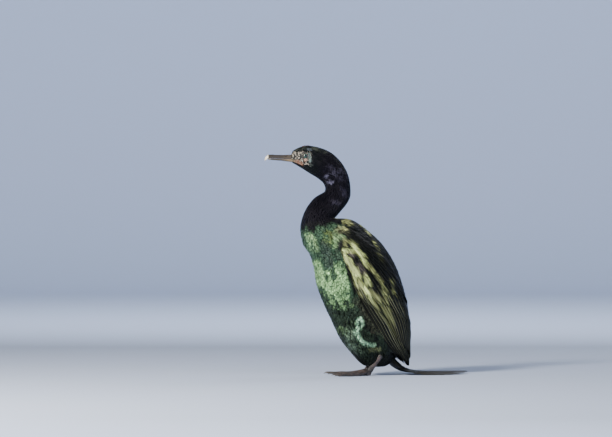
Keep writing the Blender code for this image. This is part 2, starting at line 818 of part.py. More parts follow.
def foot(side_name, side, ground):
    knob = [shank_ring(side, d * MM, r * MM) for d, r in ((-3.5, 2.6), (-1, 4.6), (2, 4.8), (5, 4.2))]
    part = tube(f"foot_{side_name}", knob)
    names = list(TOES)
    pieces = [toe(side, name) for name in names]
    pieces += [web(side, a, b) for a, b in zip(names, names[1:])]
    joint, _ = foot_frame(side)
    bm = bmesh.new()
    bmesh.ops.create_uvsphere(bm, u_segments=12, v_segments=7, radius=PAD_RADIUS)
    pad_at = Matrix.Translation(Vector((joint.x - 3 * MM, joint.y, 3.6 * MM)))
    bmesh.ops.transform(bm, matrix=pad_at @ Matrix.Diagonal((1, 1, 0.72, 1)), verts=bm.verts[:])
    fuse(part, pieces + [object_from(bm, "pad")])
    cut(part, ground)
    simplify(part)
    return renamed(part, f"foot_{side_name}", "foot_skin")


def claw(side_name, side, name):
    """A curved nail that goes on from the toe's end and bends down to the ground."""
    end = toe_line(side, name, 1.0)
    along = (end - toe_line(side, name, 0.9)).normalized()
    along.z = 0
    radius = toe_radius(name, 1.0)
    rings = []
    for i in range(5):
        f = i / 4
        middle = end + along.normalized() * (GAP + CLAW_LENGTH * f)
        middle.z += 0.9 * MM * math.sin(math.pi * f) - (end.z - 0.9 * MM) * f * f
        rings.append(pipe_ring(middle, along.normalized(), radius * (1 - 0.86 * f), 0.8, 6))
    part = tube(f"claw_{side_name}_{name}", rings, "claw_horn")
    for vert in part.data.vertices:
        vert.co.z = max(vert.co.z, 0.3 * MM)
    return part


def tail_frame(u):
    """A point of the tail's line, u from root to tip, and the direction that is up off it."""
    line = np.array(TAIL_LINE, float) * MM
    legs = np.concatenate([[0], np.cumsum(np.linalg.norm(np.diff(line, axis=0), axis=1))])
    k = float(np.interp(u * legs[-1], legs, np.arange(len(line))))
    here, ahead = row_at(line, k), row_at(line, min(k + 0.05, len(line) - 1.001) + 0.001)
    behind = row_at(line, max(0.0, k - 0.05))
    along = Vector((ahead[0] - behind[0], 0, ahead[1] - behind[1])).normalized()
    return Vector((here[0], 0, here[1])), Vector((-along.z, 0, along.x))


def tail_vane(place, root, tip):
    """A feather of the tail, with its rings of points where its neighbours have theirs."""
    shared = [stop for stop in TAIL_STOPS if root <= stop < tip - 0.12]
    alongs = shared + [between((shared[-1], tip), share) for share in (0.5, 0.85, 1.0)]
    stops = [(along - root) / (tip - root) for along in alongs]
    return sheet_vane(place, stops)


def stack_lift(across):
    """How high a tail feather lies, by how far across the tail it is: each lies over its outer neighbour."""
    over_the_middle = 1 if across == 0.5 else 0
    return 0.9 * MM + RECTRIX_STACK * ((RECTRICES - 1) / 2 - abs(across) + over_the_middle)


def rectrices():
    """The stiff tail feathers: the middle pair on top and longest, the outer ones under and shorter."""
    vanes = []
    for i in range(RECTRICES):
        across = i - (RECTRICES - 1) / 2
        reach = 1 - TAIL_WEDGE * (abs(across) / ((RECTRICES - 1) / 2)) ** 1.6
        outward = math.copysign(1, across)

        def place(u, v):
            along = between((TAIL_STOPS[0], reach), u - 0.035 * v * v * smooth((u - 0.6) / 0.4))
            point, up = tail_frame(along)
            spread = between((RECTRIX_ROOT_SPREAD, RECTRIX_TIP_SPREAD), smooth(along / 0.9))
            half = RECTRIX_HALF_WIDTH * (0.35 + 0.65 * smooth(u / 0.5)) * vane_breadth(u)
            lift = stack_lift(across) - 0.35 * MM * v * outward
            return point + Vector((0, across * spread + v * half, 0)) + up * lift

        vanes.append(tail_vane(place, TAIL_STOPS[0], reach))
    return vanes


def tail_pad():
    """The fleshy root of the tail, under its coverts."""
    rings = []
    for i in range(6):
        u = TAIL_PAD_END * i / 5
        point, up = tail_frame(u)
        half_high = (8.5 - 3.0 * smooth(i / 5)) * MM
        half_wide = (14 + i) * MM
        middle = point + up * (half_high - 1.0 * MM)
        rings.append([
            middle + Vector((0, half_wide * math.cos(a), 0)) + up * half_high * math.sin(a)
            for a in [math.tau * j / 12 for j in range(12)]
        ])
    return tube("tail", rings)


def tail_covert_vanes():
    """The feathers that cover the roots of the stiff ones."""
    vanes = []
    for i in range(TAIL_COVERTS):
        across = i - (TAIL_COVERTS - 1) / 2
        root, tip = TAIL_STOPS[1], 0.47 - 0.02 * abs(across)

        def place(u, v):
            point, up = tail_frame(between((root, tip), u))
            tilt = 0.4 * MM * v * math.copysign(1, across)
            lift = stack_lift(abs(across)) + (1.4 + 1.2 * (1 - u)) * MM - tilt
            half = 4.6 * MM * vane_breadth(u)
            return point + Vector((0, across * 4.8 * MM + v * half, 0)) + up * lift

        vanes.append(tail_vane(place, root, tip))
    return vanes


def tail_room():
    """The space over the tail that the wing tips keep clear of."""
    rings = []
    for i in range(9):
        point, up = tail_frame(0.05 + 0.5 * i / 8)
        middle = point + up * (TAIL_ROOM_HEIGHT - 20 * MM) / 2
        rings.append([
            middle + Vector((0, 30 * MM * y, 0)) + up * (TAIL_ROOM_HEIGHT + 20 * MM) / 2 * z
            for y, z in ((-1, -1), (1, -1), (1, 0.9), (0.6, 1), (-0.6, 1), (-1, 0.9))
        ])
    return tube("tail_room", rings)


def tail(cutters):
    part = tail_pad()
    fuse(part, rectrices() + tail_covert_vanes())
    cut(part, *cutters)
    simplify(part)
    return renamed(part, "tail", "plumage_tail")


def centre_on_box():
    """Moves the whole bird so that the middle of its box is over the origin."""
    parts = [o for o in bpy.context.scene.objects if o.type == "MESH"]
    corners = np.array([v.co for part in parts for v in part.data.vertices])
    middle = (corners.min(axis=0) + corners.max(axis=0)) / 2
    for part in parts:
        part.data.transform(Matrix.Translation((-middle[0], -middle[1], 0)))
        part.data.update()


def leg(side_name, side, body_room):
    """The thigh's lobe, the shank, and the foot with its claws."""
    lobe_room = tube("thigh_room", thigh_rings(side, GAP))
    thigh = tube(f"thigh_{side_name}", thigh_rings(side), "plumage_green")
    cut(thigh, body_room)
    shank_rings = [
        shank_ring(side, STUB_LENGTH + GAP + SHANK_LENGTH * i / 4, (4.2 + 0.4 * i / 4) * MM)
        for i in range(5)
    ]
    shank = tube(f"shank_{side_name}", shank_rings, "foot_skin")
    cut(shank, lobe_room, body_room)
    ground = ground_cutter()
    foot(side_name, side, ground)
    remove(ground)
    for name in TOES:
        claw(side_name, side, name)
    return lobe_room


def build():
    for old in list(bpy.data.objects):
        bpy.data.objects.remove(old, do_unlink=True)

    head()
    bill_upper()
    bill_lower()
    for side_name, side in SIDES.items():
        ball(f"eye_{side_name}", eye_centre(side), EYE_RADIUS, "eye_green")
    body_tube("neck_upper", HEAD_END, NECK_MIDDLE, "plumage_black")
    body_tube("neck_lower", NECK_MIDDLE, TRUNK_START, "plumage_black")
    torso = body_tube("torso", TRUNK_START, TRUNK_END, "plumage_green")

    trunk_room = body_tube("trunk_room", TRUNK_START, TRUNK_END, grow=GAP, shrink_ends=-GAP)
    lobe_rooms = {side: leg(name, side, trunk_room) for name, side in SIDES.items()}
    over_tail = tail_room()
    for side_name, side in SIDES.items():
        recess, room = wing_room(side, GAP), wing_room(side, 0.0)
        body_room = body_tube("body_room", TRUNK_START, TRUNK_END, grow=GAP, shrink_ends=-GAP)
        cut(torso, recess)
        cut(body_room, room)
        wing(f"wing_{side_name}", side, (body_room, lobe_rooms[side], over_tail))
        remove(recess, room, body_room, lobe_rooms[side])
    ground = ground_cutter()
    tail((trunk_room, ground))
    remove(trunk_room, over_tail, ground)
    centre_on_box()


build()
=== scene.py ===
# %% [markdown]
# # A pelagic cormorant, feather by feather
#
# A cormorant's gloss comes from thousands of small overlapping feathers. Each one is dark, and each one
# shines like metal at its own angle. So this lesson builds the bird the way it is dressed: first a bare
# skin, then body feathers laid along it like tiles, then the long feathers of the folded wings and the
# tail, then the bill, the eyes and the feet, and last the small feathers of the thighs.

# %% Open the frame
import math

import bmesh
import bpy
import numpy as np
from mathutils import Matrix, Vector
from mathutils.bvhtree import BVHTree
from mathutils.kdtree import KDTree


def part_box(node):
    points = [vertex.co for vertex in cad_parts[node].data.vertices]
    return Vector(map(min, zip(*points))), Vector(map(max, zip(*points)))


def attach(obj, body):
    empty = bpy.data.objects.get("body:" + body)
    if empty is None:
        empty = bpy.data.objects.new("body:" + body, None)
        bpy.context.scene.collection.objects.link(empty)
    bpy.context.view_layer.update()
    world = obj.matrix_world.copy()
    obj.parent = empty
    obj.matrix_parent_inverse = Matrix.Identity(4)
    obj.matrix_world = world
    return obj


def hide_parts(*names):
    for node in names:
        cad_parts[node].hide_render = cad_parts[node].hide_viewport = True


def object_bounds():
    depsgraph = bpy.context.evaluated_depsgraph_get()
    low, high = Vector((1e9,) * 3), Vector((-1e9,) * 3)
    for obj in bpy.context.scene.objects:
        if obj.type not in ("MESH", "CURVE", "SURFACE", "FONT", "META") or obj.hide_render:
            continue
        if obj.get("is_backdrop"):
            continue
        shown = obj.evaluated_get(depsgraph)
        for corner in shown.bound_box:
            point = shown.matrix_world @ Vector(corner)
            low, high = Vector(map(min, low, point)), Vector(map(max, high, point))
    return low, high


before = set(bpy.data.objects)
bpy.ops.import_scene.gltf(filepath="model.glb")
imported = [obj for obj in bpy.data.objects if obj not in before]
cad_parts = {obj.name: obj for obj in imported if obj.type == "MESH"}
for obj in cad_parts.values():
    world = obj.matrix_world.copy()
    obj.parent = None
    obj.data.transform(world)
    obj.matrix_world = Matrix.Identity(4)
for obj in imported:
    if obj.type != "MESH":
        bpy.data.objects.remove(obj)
cad_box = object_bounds()
print("nodes in the frame:", len(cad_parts))

# %% [markdown]
# ## The bird's own measures
#
# The body is a stack of rings from the bill's root to the vent. Each ring is given by its throat side, its
# nape side and its half width, in millimetres, just as someone would measure a specimen with callipers.
# A smooth curve through the rows gives every ring in between, so the same few numbers carry the skin and
# every feather on it.

# %% Rings of the body
MM = 0.001
LEFT, RIGHT = -1, 1
SIDES = {"left": LEFT, "right": RIGHT}
# The bird's random draws all come from here, in one fixed order, so each run gives the same bird.
draw = np.random.default_rng(20)

BODY_RINGS = MM * np.array((
    # throat x, throat z, nape x, nape z, half width
    (-133, 372, -133, 385.5, 6.5),
    (-129, 370, -130, 391.5, 9),
    (-122, 366, -121, 397, 12.5),
    (-112, 360, -109, 400.5, 15.5),
    (-102, 353.5, -95, 400, 17),
    (-91, 347, -79, 396, 17.5),
    (-82.5, 341, -63, 388.5, 17.5),
    # the neck begins
    (-76.5, 335, -49, 376, 17),
    (-74, 329, -39, 362, 17),
    (-73.5, 324.5, -32, 345, 17),
    (-75.5, 320, -29.5, 327, 17.5),
    (-83, 316, -30, 312, 18.5),
    (-92, 310.5, -35.5, 300, 20),
    (-101, 301, -44.5, 289, 22),
    (-109, 289, -54.5, 278, 24),
    # the trunk begins
    (-115, 275, -57, 274, 27),
    (-118, 259, -42, 274, 33),
    (-117, 245, -24, 270, 39),
    (-112, 227.5, 0, 254, 45),
    (-100, 209, 26.5, 230, 49),
    (-93, 185.5, 47, 201, 51),
    (-88, 157.5, 62, 166, 52),
    (-76.5, 128, 73, 126, 50),
    (-62.5, 97.5, 78, 87.5, 45),
    (-46, 64.5, 72, 54, 38),
    (-25, 37.5, 57, 32, 28),
    (-8, 20, 42, 19, 18),
    (4, 14.5, 32, 14.5, 10),
))
# The head is turned as a whole up to HEAD_END, and from there its turn fades out down the neck to TURN_END.
HEAD_END, TURN_END, BODY_END = 7.0, 15.0, len(BODY_RINGS) - 1.0
HEAD_TURN, TURN_X = math.radians(14), -53 * MM

WING_RINGS = np.array((
    # the same five measures in millimetres, then the angles of the wing's front and back edges in degrees
    (-117, 238, -16, 267, 43, 80, 118),
    (-109, 220.5, 12, 244, 52, 73, 124),
    (-100, 206.5, 32, 226.5, 56, 69, 132),
    (-93, 184, 51.5, 201, 59, 67, 140),
    (-87.5, 156, 66.5, 167, 60, 68, 150),
    (-75.5, 126, 77, 128, 58, 70, 161),
    (-58, 96, 85, 88, 52, 76, 170),
    (-33, 66.5, 83, 53, 42, 83, 175),
    (4, 41, 83, 32, 29, 87, 177),
    (47, 22, 82, 15, 16, 92, 177),
))
WING_LENGTH = 285 * MM

# How far the frame moved the bird to bring the middle of its box over the origin.
SHIFT = Vector((-5.92, -0.23, 0)) * MM


def smooth(x):
    """The usual S-shaped step from 0 to 1."""
    x = np.clip(x, 0.0, 1.0)
    return x * x * (3 - 2 * x)


def between(a, b, f):
    return a + (b - a) * f


def unit(vectors):
    return vectors / np.maximum(np.linalg.norm(vectors, axis=-1, keepdims=True), 1e-9)


def rows_at(table, k):
    """Rows of a table at the fractional indices k, on a smooth curve through its rows."""
    last = len(table) - 1
    i = np.clip(np.floor(k), 0, last - 1).astype(int)
    f = (k - i)[..., None]
    before, a = table[np.maximum(i - 1, 0)], table[i]
    b, after = table[i + 1], table[np.minimum(i + 2, last)]
    return 0.5 * (
        2 * a + (b - before) * f + (2 * before - 5 * a + 4 * b - after) * f**2
        + (3 * a - before - 3 * b + after) * f**3
    )


def on_rings(rows, angle, grow):
    """Points on rings, at an angle from the breast round to the back, pushed out by grow."""
    front = np.stack([rows[..., 0], np.zeros_like(angle), rows[..., 1]], axis=-1)
    back = np.stack([rows[..., 2], np.zeros_like(angle), rows[..., 3]], axis=-1)
    half = (front - back) / 2
    reach = half + unit(half) * grow[..., None]
    points = (front + back) / 2 + reach * np.cos(angle)[..., None]
    points[..., 1] += (rows[..., 4] + grow) * np.sin(angle)
    return points


def turned(points, share=1.0):
    """Points of the head or neck, swung by a share of the head's turn to the bird's right."""
    points = np.asarray(points, float)
    angle = -HEAD_TURN * np.asarray(share)
    x, y = points[..., 0] - TURN_X, points[..., 1]
    cosine, sine = np.cos(angle), np.sin(angle)
    return np.stack([TURN_X + x * cosine - y * sine, x * sine + y * cosine, points[..., 2]], axis=-1)


def body(k, angle, grow=0.0):
    """Points on the body; k counts rings from the bill's root, angle goes from breast round the right."""
    k, angle, grow = np.broadcast_arrays(np.asarray(k, float), angle, grow)
    k = np.clip(k, -0.3, BODY_END)
    points = on_rings(rows_at(BODY_RINGS, k), angle, grow)
    return turned(points, smooth((TURN_END - k) / (TURN_END - HEAD_END)))


def in_head(points):
    """Points of the turned head, swung back to face straight ahead."""
    x, y = points[..., 0] - TURN_X, points[..., 1]
    ahead = TURN_X + x * math.cos(HEAD_TURN) - y * math.sin(HEAD_TURN)
    return np.stack([ahead, x * math.sin(HEAD_TURN) + y * math.cos(HEAD_TURN), points[..., 2]], axis=-1)


def turned_way(way):
    """A direction of the head, swung with it."""
    pivot = np.array((TURN_X, 0, 0))
    return turned(pivot + way) - turned(pivot)


eye_seen = sum(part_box("eye_left"), Vector()) / 2
print("left eye in the frame:", [round(c, 4) for c in eye_seen])

# %% [markdown]
# ## Camera, floor and light
#
# The photo was taken from far away with a long lens, level with the bird and a little ahead of its beam. A
# camera six metres off with a lens to match gives the same flat perspective. The floor is one round pale
# sheet that curves up all round, as in a museum's photo studio. Three soft lamps stand for a low sun ahead
# of the bird, the open sky and the light from behind, and four more light the sheet itself.

# %% Camera
PIXEL = 1.75 * MM
FRAME_WIDTH = 612
FRAME_MIDDLE = (306, 218.5)
ORIGIN_PIXEL = (366, 375)
VIEW_TURN = math.radians(-16)
CAMERA_DISTANCE = 6.0

right_of_view = Vector((math.cos(VIEW_TURN), math.sin(VIEW_TURN), 0))
towards_camera = Vector((math.sin(VIEW_TURN), -math.cos(VIEW_TURN), 0))
aim = right_of_view * ((FRAME_MIDDLE[0] - ORIGIN_PIXEL[0]) * PIXEL + right_of_view.dot(SHIFT))
aim.z = (ORIGIN_PIXEL[1] - FRAME_MIDDLE[1]) * PIXEL

camera = bpy.data.objects.new("camera", bpy.data.cameras.new("camera"))
camera.data.sensor_width = 36
camera.data.lens = camera.data.sensor_width * CAMERA_DISTANCE / (FRAME_WIDTH * PIXEL)
camera.location = aim + towards_camera * CAMERA_DISTANCE
camera.rotation_euler = (math.pi / 2, 0, VIEW_TURN)
camera.data.clip_end = 100
bpy.context.scene.collection.objects.link(camera)
bpy.context.scene.camera = camera
print("lens:", round(camera.data.lens, 1), "mm")


# %% Helpers for meshes and materials
def mesh_object(bm, name, shift=True):
    """Makes a bmesh an object of its own, moved to where the frame stands."""
    if shift:
        bmesh.ops.translate(bm, vec=SHIFT, verts=bm.verts[:])
    mesh = bpy.data.meshes.new(name)
    bm.to_mesh(mesh)
    bm.free()
    mesh.shade_smooth()
    return bpy.data.objects.new(name, mesh)


def node(tree, kind, **values):
    """Adds a shader node, with its settings and its sockets' values by name."""
    made = tree.nodes.new("ShaderNode" + kind)
    for name, value in values.items():
        if name in made.inputs:
            made.inputs[name].default_value = value
        else:
            setattr(made, name, value)
    return made


def finish(name, base, roughness, metallic=0.0, **sockets):
    """A new material with one Principled shader."""
    material = bpy.data.materials.new(name)
    material.use_nodes = True
    shader = material.node_tree.nodes["Principled BSDF"]
    shader.inputs["Base Color"].default_value = (*base, 1)
    shader.inputs["Roughness"].default_value = roughness
    shader.inputs["Metallic"].default_value = metallic
    for name, value in sockets.items():
        shader.inputs[name.replace("_", " ")].default_value = value
    return material, material.node_tree, shader


# %% Floor and lamps
def stage_floor(flat=6.6, bend=1.6, top=2.4, turns=96, steps=24):
    """A round sheet of paper that lies under the bird and curves up all round it."""
    bm = bmesh.new()
    bmesh.ops.create_grid(bm, x_segments=turns, y_segments=steps, size=1)
    for vert in bm.verts:
        turn, share = math.pi * vert.co.x, (vert.co.y + 1) / 2
        swing = math.pi / 2 * min(max((share - 0.25) / 0.65, 0), 1)
        out = flat * min(share / 0.25, 1) + bend * math.sin(swing)
        rise = bend * (1 - math.cos(swing)) + (top - bend) * max(share - 0.9, 0) / 0.1
        vert.co = Vector((out * math.cos(turn), out * math.sin(turn), rise))
    bmesh.ops.remove_doubles(bm, verts=bm.verts[:], dist=1e-4)
    bmesh.ops.recalc_face_normals(bm, faces=bm.faces[:])
    bm.faces.ensure_lookup_table()
    if min(bm.faces, key=lambda face: face.calc_center_median().length).normal.z < 0:
        bmesh.ops.reverse_faces(bm, faces=bm.faces[:])
    return mesh_object(bm, "floor", shift=False)


def soft_lamp(name, side, near, up, size, watts, tint=(1, 1, 1), looks_at=(0, 0, 0.2)):
    """A square lamp that looks at the bird's middle or another place, placed as the camera sees it."""
    lamp = bpy.data.objects.new(name, bpy.data.lights.new(name, "AREA"))
    lamp.data.size = size
    lamp.data.energy = watts
    lamp.data.color = tint
    lamp.location = right_of_view * side + towards_camera * near + Vector((0, 0, up))
    across, ahead, high = looks_at
    target = right_of_view * across + towards_camera * ahead + Vector((0, 0, high))
    lamp.rotation_euler = (target - lamp.location).to_track_quat("-Z", "Y").to_euler()
    bpy.context.scene.collection.objects.link(lamp)


floor = stage_floor()
bpy.context.scene.collection.objects.link(floor)
paper, _, _ = finish("paper", (0.535, 0.61, 0.79), 0.9)
floor.data.materials.append(paper)
floor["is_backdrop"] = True

SUNLIGHT, SKYLIGHT, BACKLIGHT = (1.0, 0.96, 0.87), (0.86, 0.92, 1.0), (0.92, 0.95, 1.0)
soft_lamp("low_sun", -1.5, 1.7, 1.5, 0.4, 110, SUNLIGHT)
soft_lamp("open_sky", 0.9, 1.6, 2.0, 2.2, 14, SKYLIGHT)
soft_lamp("from_behind", 1.2, -1.6, 1.8, 1.2, 14, BACKLIGHT)
for turn in range(4):
    side, near = math.sin(turn * math.pi / 2), -math.cos(turn * math.pi / 2)
    soft_lamp(
        f"on_the_paper_{turn}", 1.6 * side, 1.6 * near, 3.2, 2.0, 300, SKYLIGHT,
        looks_at=(8.0 * side, 8.0 * near, 2.6),
    )

world = bpy.data.worlds.new("studio")
world.use_nodes = True
background = world.node_tree.nodes["Background"]
background.inputs["Color"].default_value = (0.60, 0.66, 0.76, 1)
background.inputs["Strength"].default_value = 0.30
bpy.context.scene.world = world
print("lamps:", len(bpy.data.lights))

# %% [markdown]
# ## Colours of the plumage
#
# Far from the sun this bird is nearly black: violet on the neck, green on the breast, bronze on the wings.
# Where groups of feathers lie alike they flash together, pale green or straw yellow. A museum's painter
# would lay such flashes over the dark ground with a soft brush, and that is what happens here: the flashes
# are painted highlights, and the darker strokes are painted shade in hollows, under the crop and along the
# wing's front edge. Every stroke runs between two places as the camera sees them, in millimetres, and both
# flanks get the same strokes.
# Skin and feathers use the same functions, so no wrong colour shows between the feathers.

# %% Undercoat
CROWN_BLACK = np.array((0.0035, 0.0055, 0.0050))
NECK_BLACK = np.array((0.0024, 0.0020, 0.0034))
BREAST_GREEN = np.array((0.030, 0.062, 0.034))
BELLY_GREEN = np.array((0.016, 0.026, 0.015))
VENT_BROWN = np.array((0.006, 0.007, 0.005))
BACK_BLACK = np.array((0.005, 0.006, 0.006))
WING_BLACK = np.array((0.008, 0.008, 0.007))


def waves(points, length, seed):
    """A soft pattern of light and dark, about from -1 to 1, with blotches of the given length."""
    chance = np.random.default_rng(seed)
    total = 0
    for _ in range(5):
        way = unit(chance.normal(size=3)) / length * chance.uniform(0.7, 1.5)
        total = total + np.sin(math.tau * (points @ way) + chance.uniform(0, math.tau))
    return total / 2.5


def mixed(a, b, share):
    return a + (b - a) * np.asarray(share)[..., None]


def undercoat(k, angle):
    """The plumage's ground colour at places on the body."""
    place = body(k, angle)
    back = smooth((-np.cos(angle) - 0.12) / 0.40)
    neck = mixed(CROWN_BLACK, NECK_BLACK, smooth((k - 3.6) / 2.4))
    green = mixed(BREAST_GREEN, BELLY_GREEN, smooth((k - 20.4) / 1.8))
    green = mixed(green, VENT_BROWN, smooth((k - 23.4) / 1.6))
    green = mixed(green, BACK_BLACK, back)
    breast_starts = 15.9 + 0.45 * waves(place, 0.02, 3)
    return mixed(neck, green, smooth((k - breast_starts + 0.4) / 0.8))


# %% Brush strokes: painted highlights and painted shade
# Colours of the painted highlights that stand for the plumage's gloss, and of painted shadow; SHADE is the
# darkest.
PALE_GREEN, MID_GREEN, OLIVE_GREEN = (0.25, 0.43, 0.175), (0.12, 0.22, 0.105), (0.20, 0.26, 0.070)
STRAW, CREAM = (0.45, 0.47, 0.175), (0.71, 0.79, 0.28)
BRONZE, BRONZE_SHADOW, PLUM = (0.14, 0.155, 0.070), (0.034, 0.036, 0.022), (0.115, 0.095, 0.082)
LEAF, MINT = (0.19, 0.30, 0.13), (0.33, 0.55, 0.33)
SHADE, LAVENDER, SLATE = (0.003, 0.0035, 0.003), (0.19, 0.18, 0.26), (0.036, 0.032, 0.048)
GLOSS_AND_SHADE_STROKES = (
    # along and up of both ends as the camera sees them, half width, strength, how ragged, colour
    # breast, above the notch: painted highlights, and painted shade in the notch under the crop's bulge
    (-101, 243, -97, 219, 7.5, 0.76, 0.8, MID_GREEN),
    (-96, 240, -88, 220, 7.5, 0.75, 0.9, LEAF),
    (-68, 245, -66, 231, 7.5, 0.60, 0.9, OLIVE_GREEN),
    (-54, 248, -52, 234, 5, 0.80, 0.6, LEAF),
    (-49, 242, -42, 243, 4, 0.60, 0.6, LEAF),
    (-56, 234, -54, 224, 4, 0.90, 0.4, LEAF),
    (-51, 252, -37, 256, 6, 0.60, 0.9, (0.22, 0.23, 0.11)),
    # painted shade under the crop's bulge
    (-72, 224, -63, 192, 9.5, 0.85, 0.3, (0.038, 0.056, 0.040)),
    (-49, 217, -49, 203, 5, 0.50, 0.3, (0.050, 0.064, 0.046)),
    # breast, the pale shield under it, painted as highlights, with painted shadow of the wing at its back
    # edge
    (-85, 194, -81, 164, 7.5, 0.88, 0.5, PALE_GREEN),
    (-74, 159, -56, 152, 10.5, 0.80, 0.8, PALE_GREEN),
    (-66, 175, -63, 161, 8, 0.60, 1.0, PALE_GREEN),
    (-48, 189, -44, 149, 8, 0.85, 0.6, PALE_GREEN),
    (-38, 180, -35, 158, 5.5, 0.75, 0.6, PALE_GREEN),
    (-37, 163, -32, 149, 5, 0.90, 0.4, PALE_GREEN),
    (-56, 145, -51, 136, 4.5, 0.60, 0.0, PALE_GREEN),
    (-80, 184, -75, 172, 4, 0.60, 0.2, PALE_GREEN),
    (-61, 142, -38, 136, 10, 0.76, 1.0, PALE_GREEN),
    (-58, 124, -40, 121, 8, 0.48, 1.2, PALE_GREEN),
    (-33, 126, -26, 121, 4, 0.55, 1.0, LEAF),
    (-66, 105, -32, 98, 11.5, 0.60, 0.3, BELLY_GREEN),
    (-37, 110, -24, 107, 7, 0.50, 0.3, BELLY_GREEN),
    (-46, 79, -37, 77, 6, 0.40, 0.8, LEAF),
    # painted shadow of the wing's front edge on the breast
    (-36, 201, -33, 187, 1.5, 0.85, 0.1, SHADE),
    (-33, 189, -28, 168, 3, 0.95, 0.1, SHADE),
    (-24, 164, -19, 142, 3, 0.95, 0.1, SHADE),
    # thigh: a painted highlight in a loop with its trailing line, beside the painted shadow of the hollow
    (0, 89, 12, 82, 9.5, 0.95, 0.1, SHADE),
    (16, 66, 19, 54, 5, 0.85, 0.2, SHADE),
    (9, 74, 14, 73, 2.5, 0.60, 0.3, (0.050, 0.040, 0.028)),
    (-30, 74, -24, 51, 9, 0.60, 0.9, (0.120, 0.175, 0.115)),
    (-16, 96, -15, 74, 2.5, 0.95, 0.1, MINT),
    (-7, 97, -7, 86, 2.5, 0.90, 0.1, MINT),
    (-15, 99, -9, 99, 2.5, 0.85, 0.1, MINT),
    (-16, 84, -11, 83, 2.5, 0.90, 0.1, MINT),
    (-19, 77, -14, 68, 4, 0.80, 0.4, MINT),
    (-13, 68, -7, 60, 3.5, 0.85, 0.4, MINT),
    (-7, 60, 2, 54, 4, 0.75, 0.5, MINT),
    (4, 55, 14, 52, 3, 0.80, 0.4, MINT),
    # painted shade in the middle of the loop
    (-11, 94, -11, 87, 2, 0.90, 0.0, (0.04, 0.062, 0.045)),
    (-35, 44, -7, 44, 6, 0.35, 0.8, (0.075, 0.105, 0.070)),
    (7, 46, 23, 44, 4, 0.60, 0.6, BRONZE),
    # shoulder and the back's far edge: painted highlights, and painted shade on the scapulars
    (-38, 268, -28, 273, 4, 0.75, 1.0, STRAW),
    (-38, 257, -35, 252, 4, 0.55, 1.0, STRAW),
    (-33, 264, -24, 262, 4, 0.80, 1.0, STRAW),
    (-38, 238, -37, 226, 2.5, 0.55, 0.5, STRAW),
    (-29, 234, -26, 231, 2.5, 0.50, 0.5, CREAM),
    (-9, 264, 8, 245, 2.5, 0.72, 0.9, STRAW),
    (13, 234, 23, 219, 2.5, 0.70, 1.0, STRAW),
    (21, 215, 28, 198, 2.5, 0.45, 1.0, STRAW),
    (44, 168, 49, 140, 2.5, 0.40, 1.0, STRAW),
    (-23, 254, -7, 226, 9, 0.90, 0.2, SHADE),
    (-2, 226, 26, 184, 9, 0.85, 0.2, SHADE),
    # the wing's zigzag of pale tips, a painted highlight
    (-39, 219, -21, 218, 4, 0.95, 0.5, CREAM),
    (-23, 229, -16, 216, 4, 0.90, 0.5, CREAM),
    (-11, 214, -4, 211, 2.5, 0.80, 0.4, CREAM),
    (-10, 209, 1, 192, 4, 0.92, 0.5, CREAM),
    (1, 191, 11, 182, 2.5, 0.90, 0.5, STRAW),
    (5, 192, 10, 187, 2.5, 0.60, 0.5, STRAW),
    (9, 186, 15, 178, 2.5, 0.90, 0.5, STRAW),
    (17, 175, 26, 164, 3.5, 0.90, 0.5, STRAW),
    (25, 164, 30, 154, 2, 0.50, 0.7, STRAW),
    (31, 150, 35, 131, 5, 0.92, 0.8, STRAW),
    # the wing's front: painted highlights in pale steps down its edge, and painted shadow beside them
    (-38, 212, -35, 200, 3, 0.95, 0.2, CREAM),
    (-31, 203, -23, 186, 4.5, 0.90, 0.4, CREAM),
    (-25, 186, -18, 161, 3, 0.92, 0.3, CREAM),
    (-32, 203, -24, 184, 1.5, 0.70, 0.3, (0.10, 0.09, 0.06)),
    (-30, 214, -23, 208, 2.5, 0.75, 0.4, PLUM),
    (-18, 187, -13, 172, 4, 0.95, 0.3, CREAM),
    (-3, 175, 3, 161, 5, 0.92, 0.4, CREAM),
    (-13, 168, -9, 157, 3.5, 0.75, 0.7, STRAW),
    (-12, 144, -9, 136, 3, 0.60, 0.7, STRAW),
    (-6, 159, 1, 144, 4, 0.85, 0.6, CREAM),
    (3, 145, 9, 133, 4, 0.80, 0.7, CREAM),
    (9, 142, 21, 131, 6, 0.50, 1.0, STRAW),
    (-14, 194, -5, 178, 5, 0.75, 0.4, PLUM),
    (-21, 205, -15, 200, 4, 0.90, 0.2, SHADE),
    (3, 182, 10, 172, 4, 0.90, 0.2, SHADE),
    (13, 173, 17, 149, 4, 0.80, 0.3, SHADE),
    (14, 130, 42, 100, 7.5, 0.36, 1.0, STRAW),
    (37, 98, 51, 68, 4, 0.34, 1.0, STRAW),
    (-7, 138, 32, 68, 4, 0.30, 1.0, BRONZE),
    # painted shadow in the hollow between the wing and the thigh
    (-16, 130, 2, 108, 7.5, 0.80, 0.3, BRONZE_SHADOW),
    (-2, 108, 23, 79, 9.5, 0.72, 0.4, BRONZE_SHADOW),
    # neck: painted sheen in lavender and slate
    (-67, 344, -49, 356, 6, 0.40, 1.6, LAVENDER),
    (-67, 336, -60, 335, 3, 0.66, 0.9, LAVENDER),
    (-66, 348, -61, 340, 5, 0.26, 1.4, LAVENDER),
    (-63, 357, -38, 345, 9, 0.80, 1.2, SLATE),
    (-42, 327, -37, 313, 5, 0.65, 1.4, SLATE),
    (-61, 303, -44, 298, 4, 0.60, 1.4, SLATE),
)

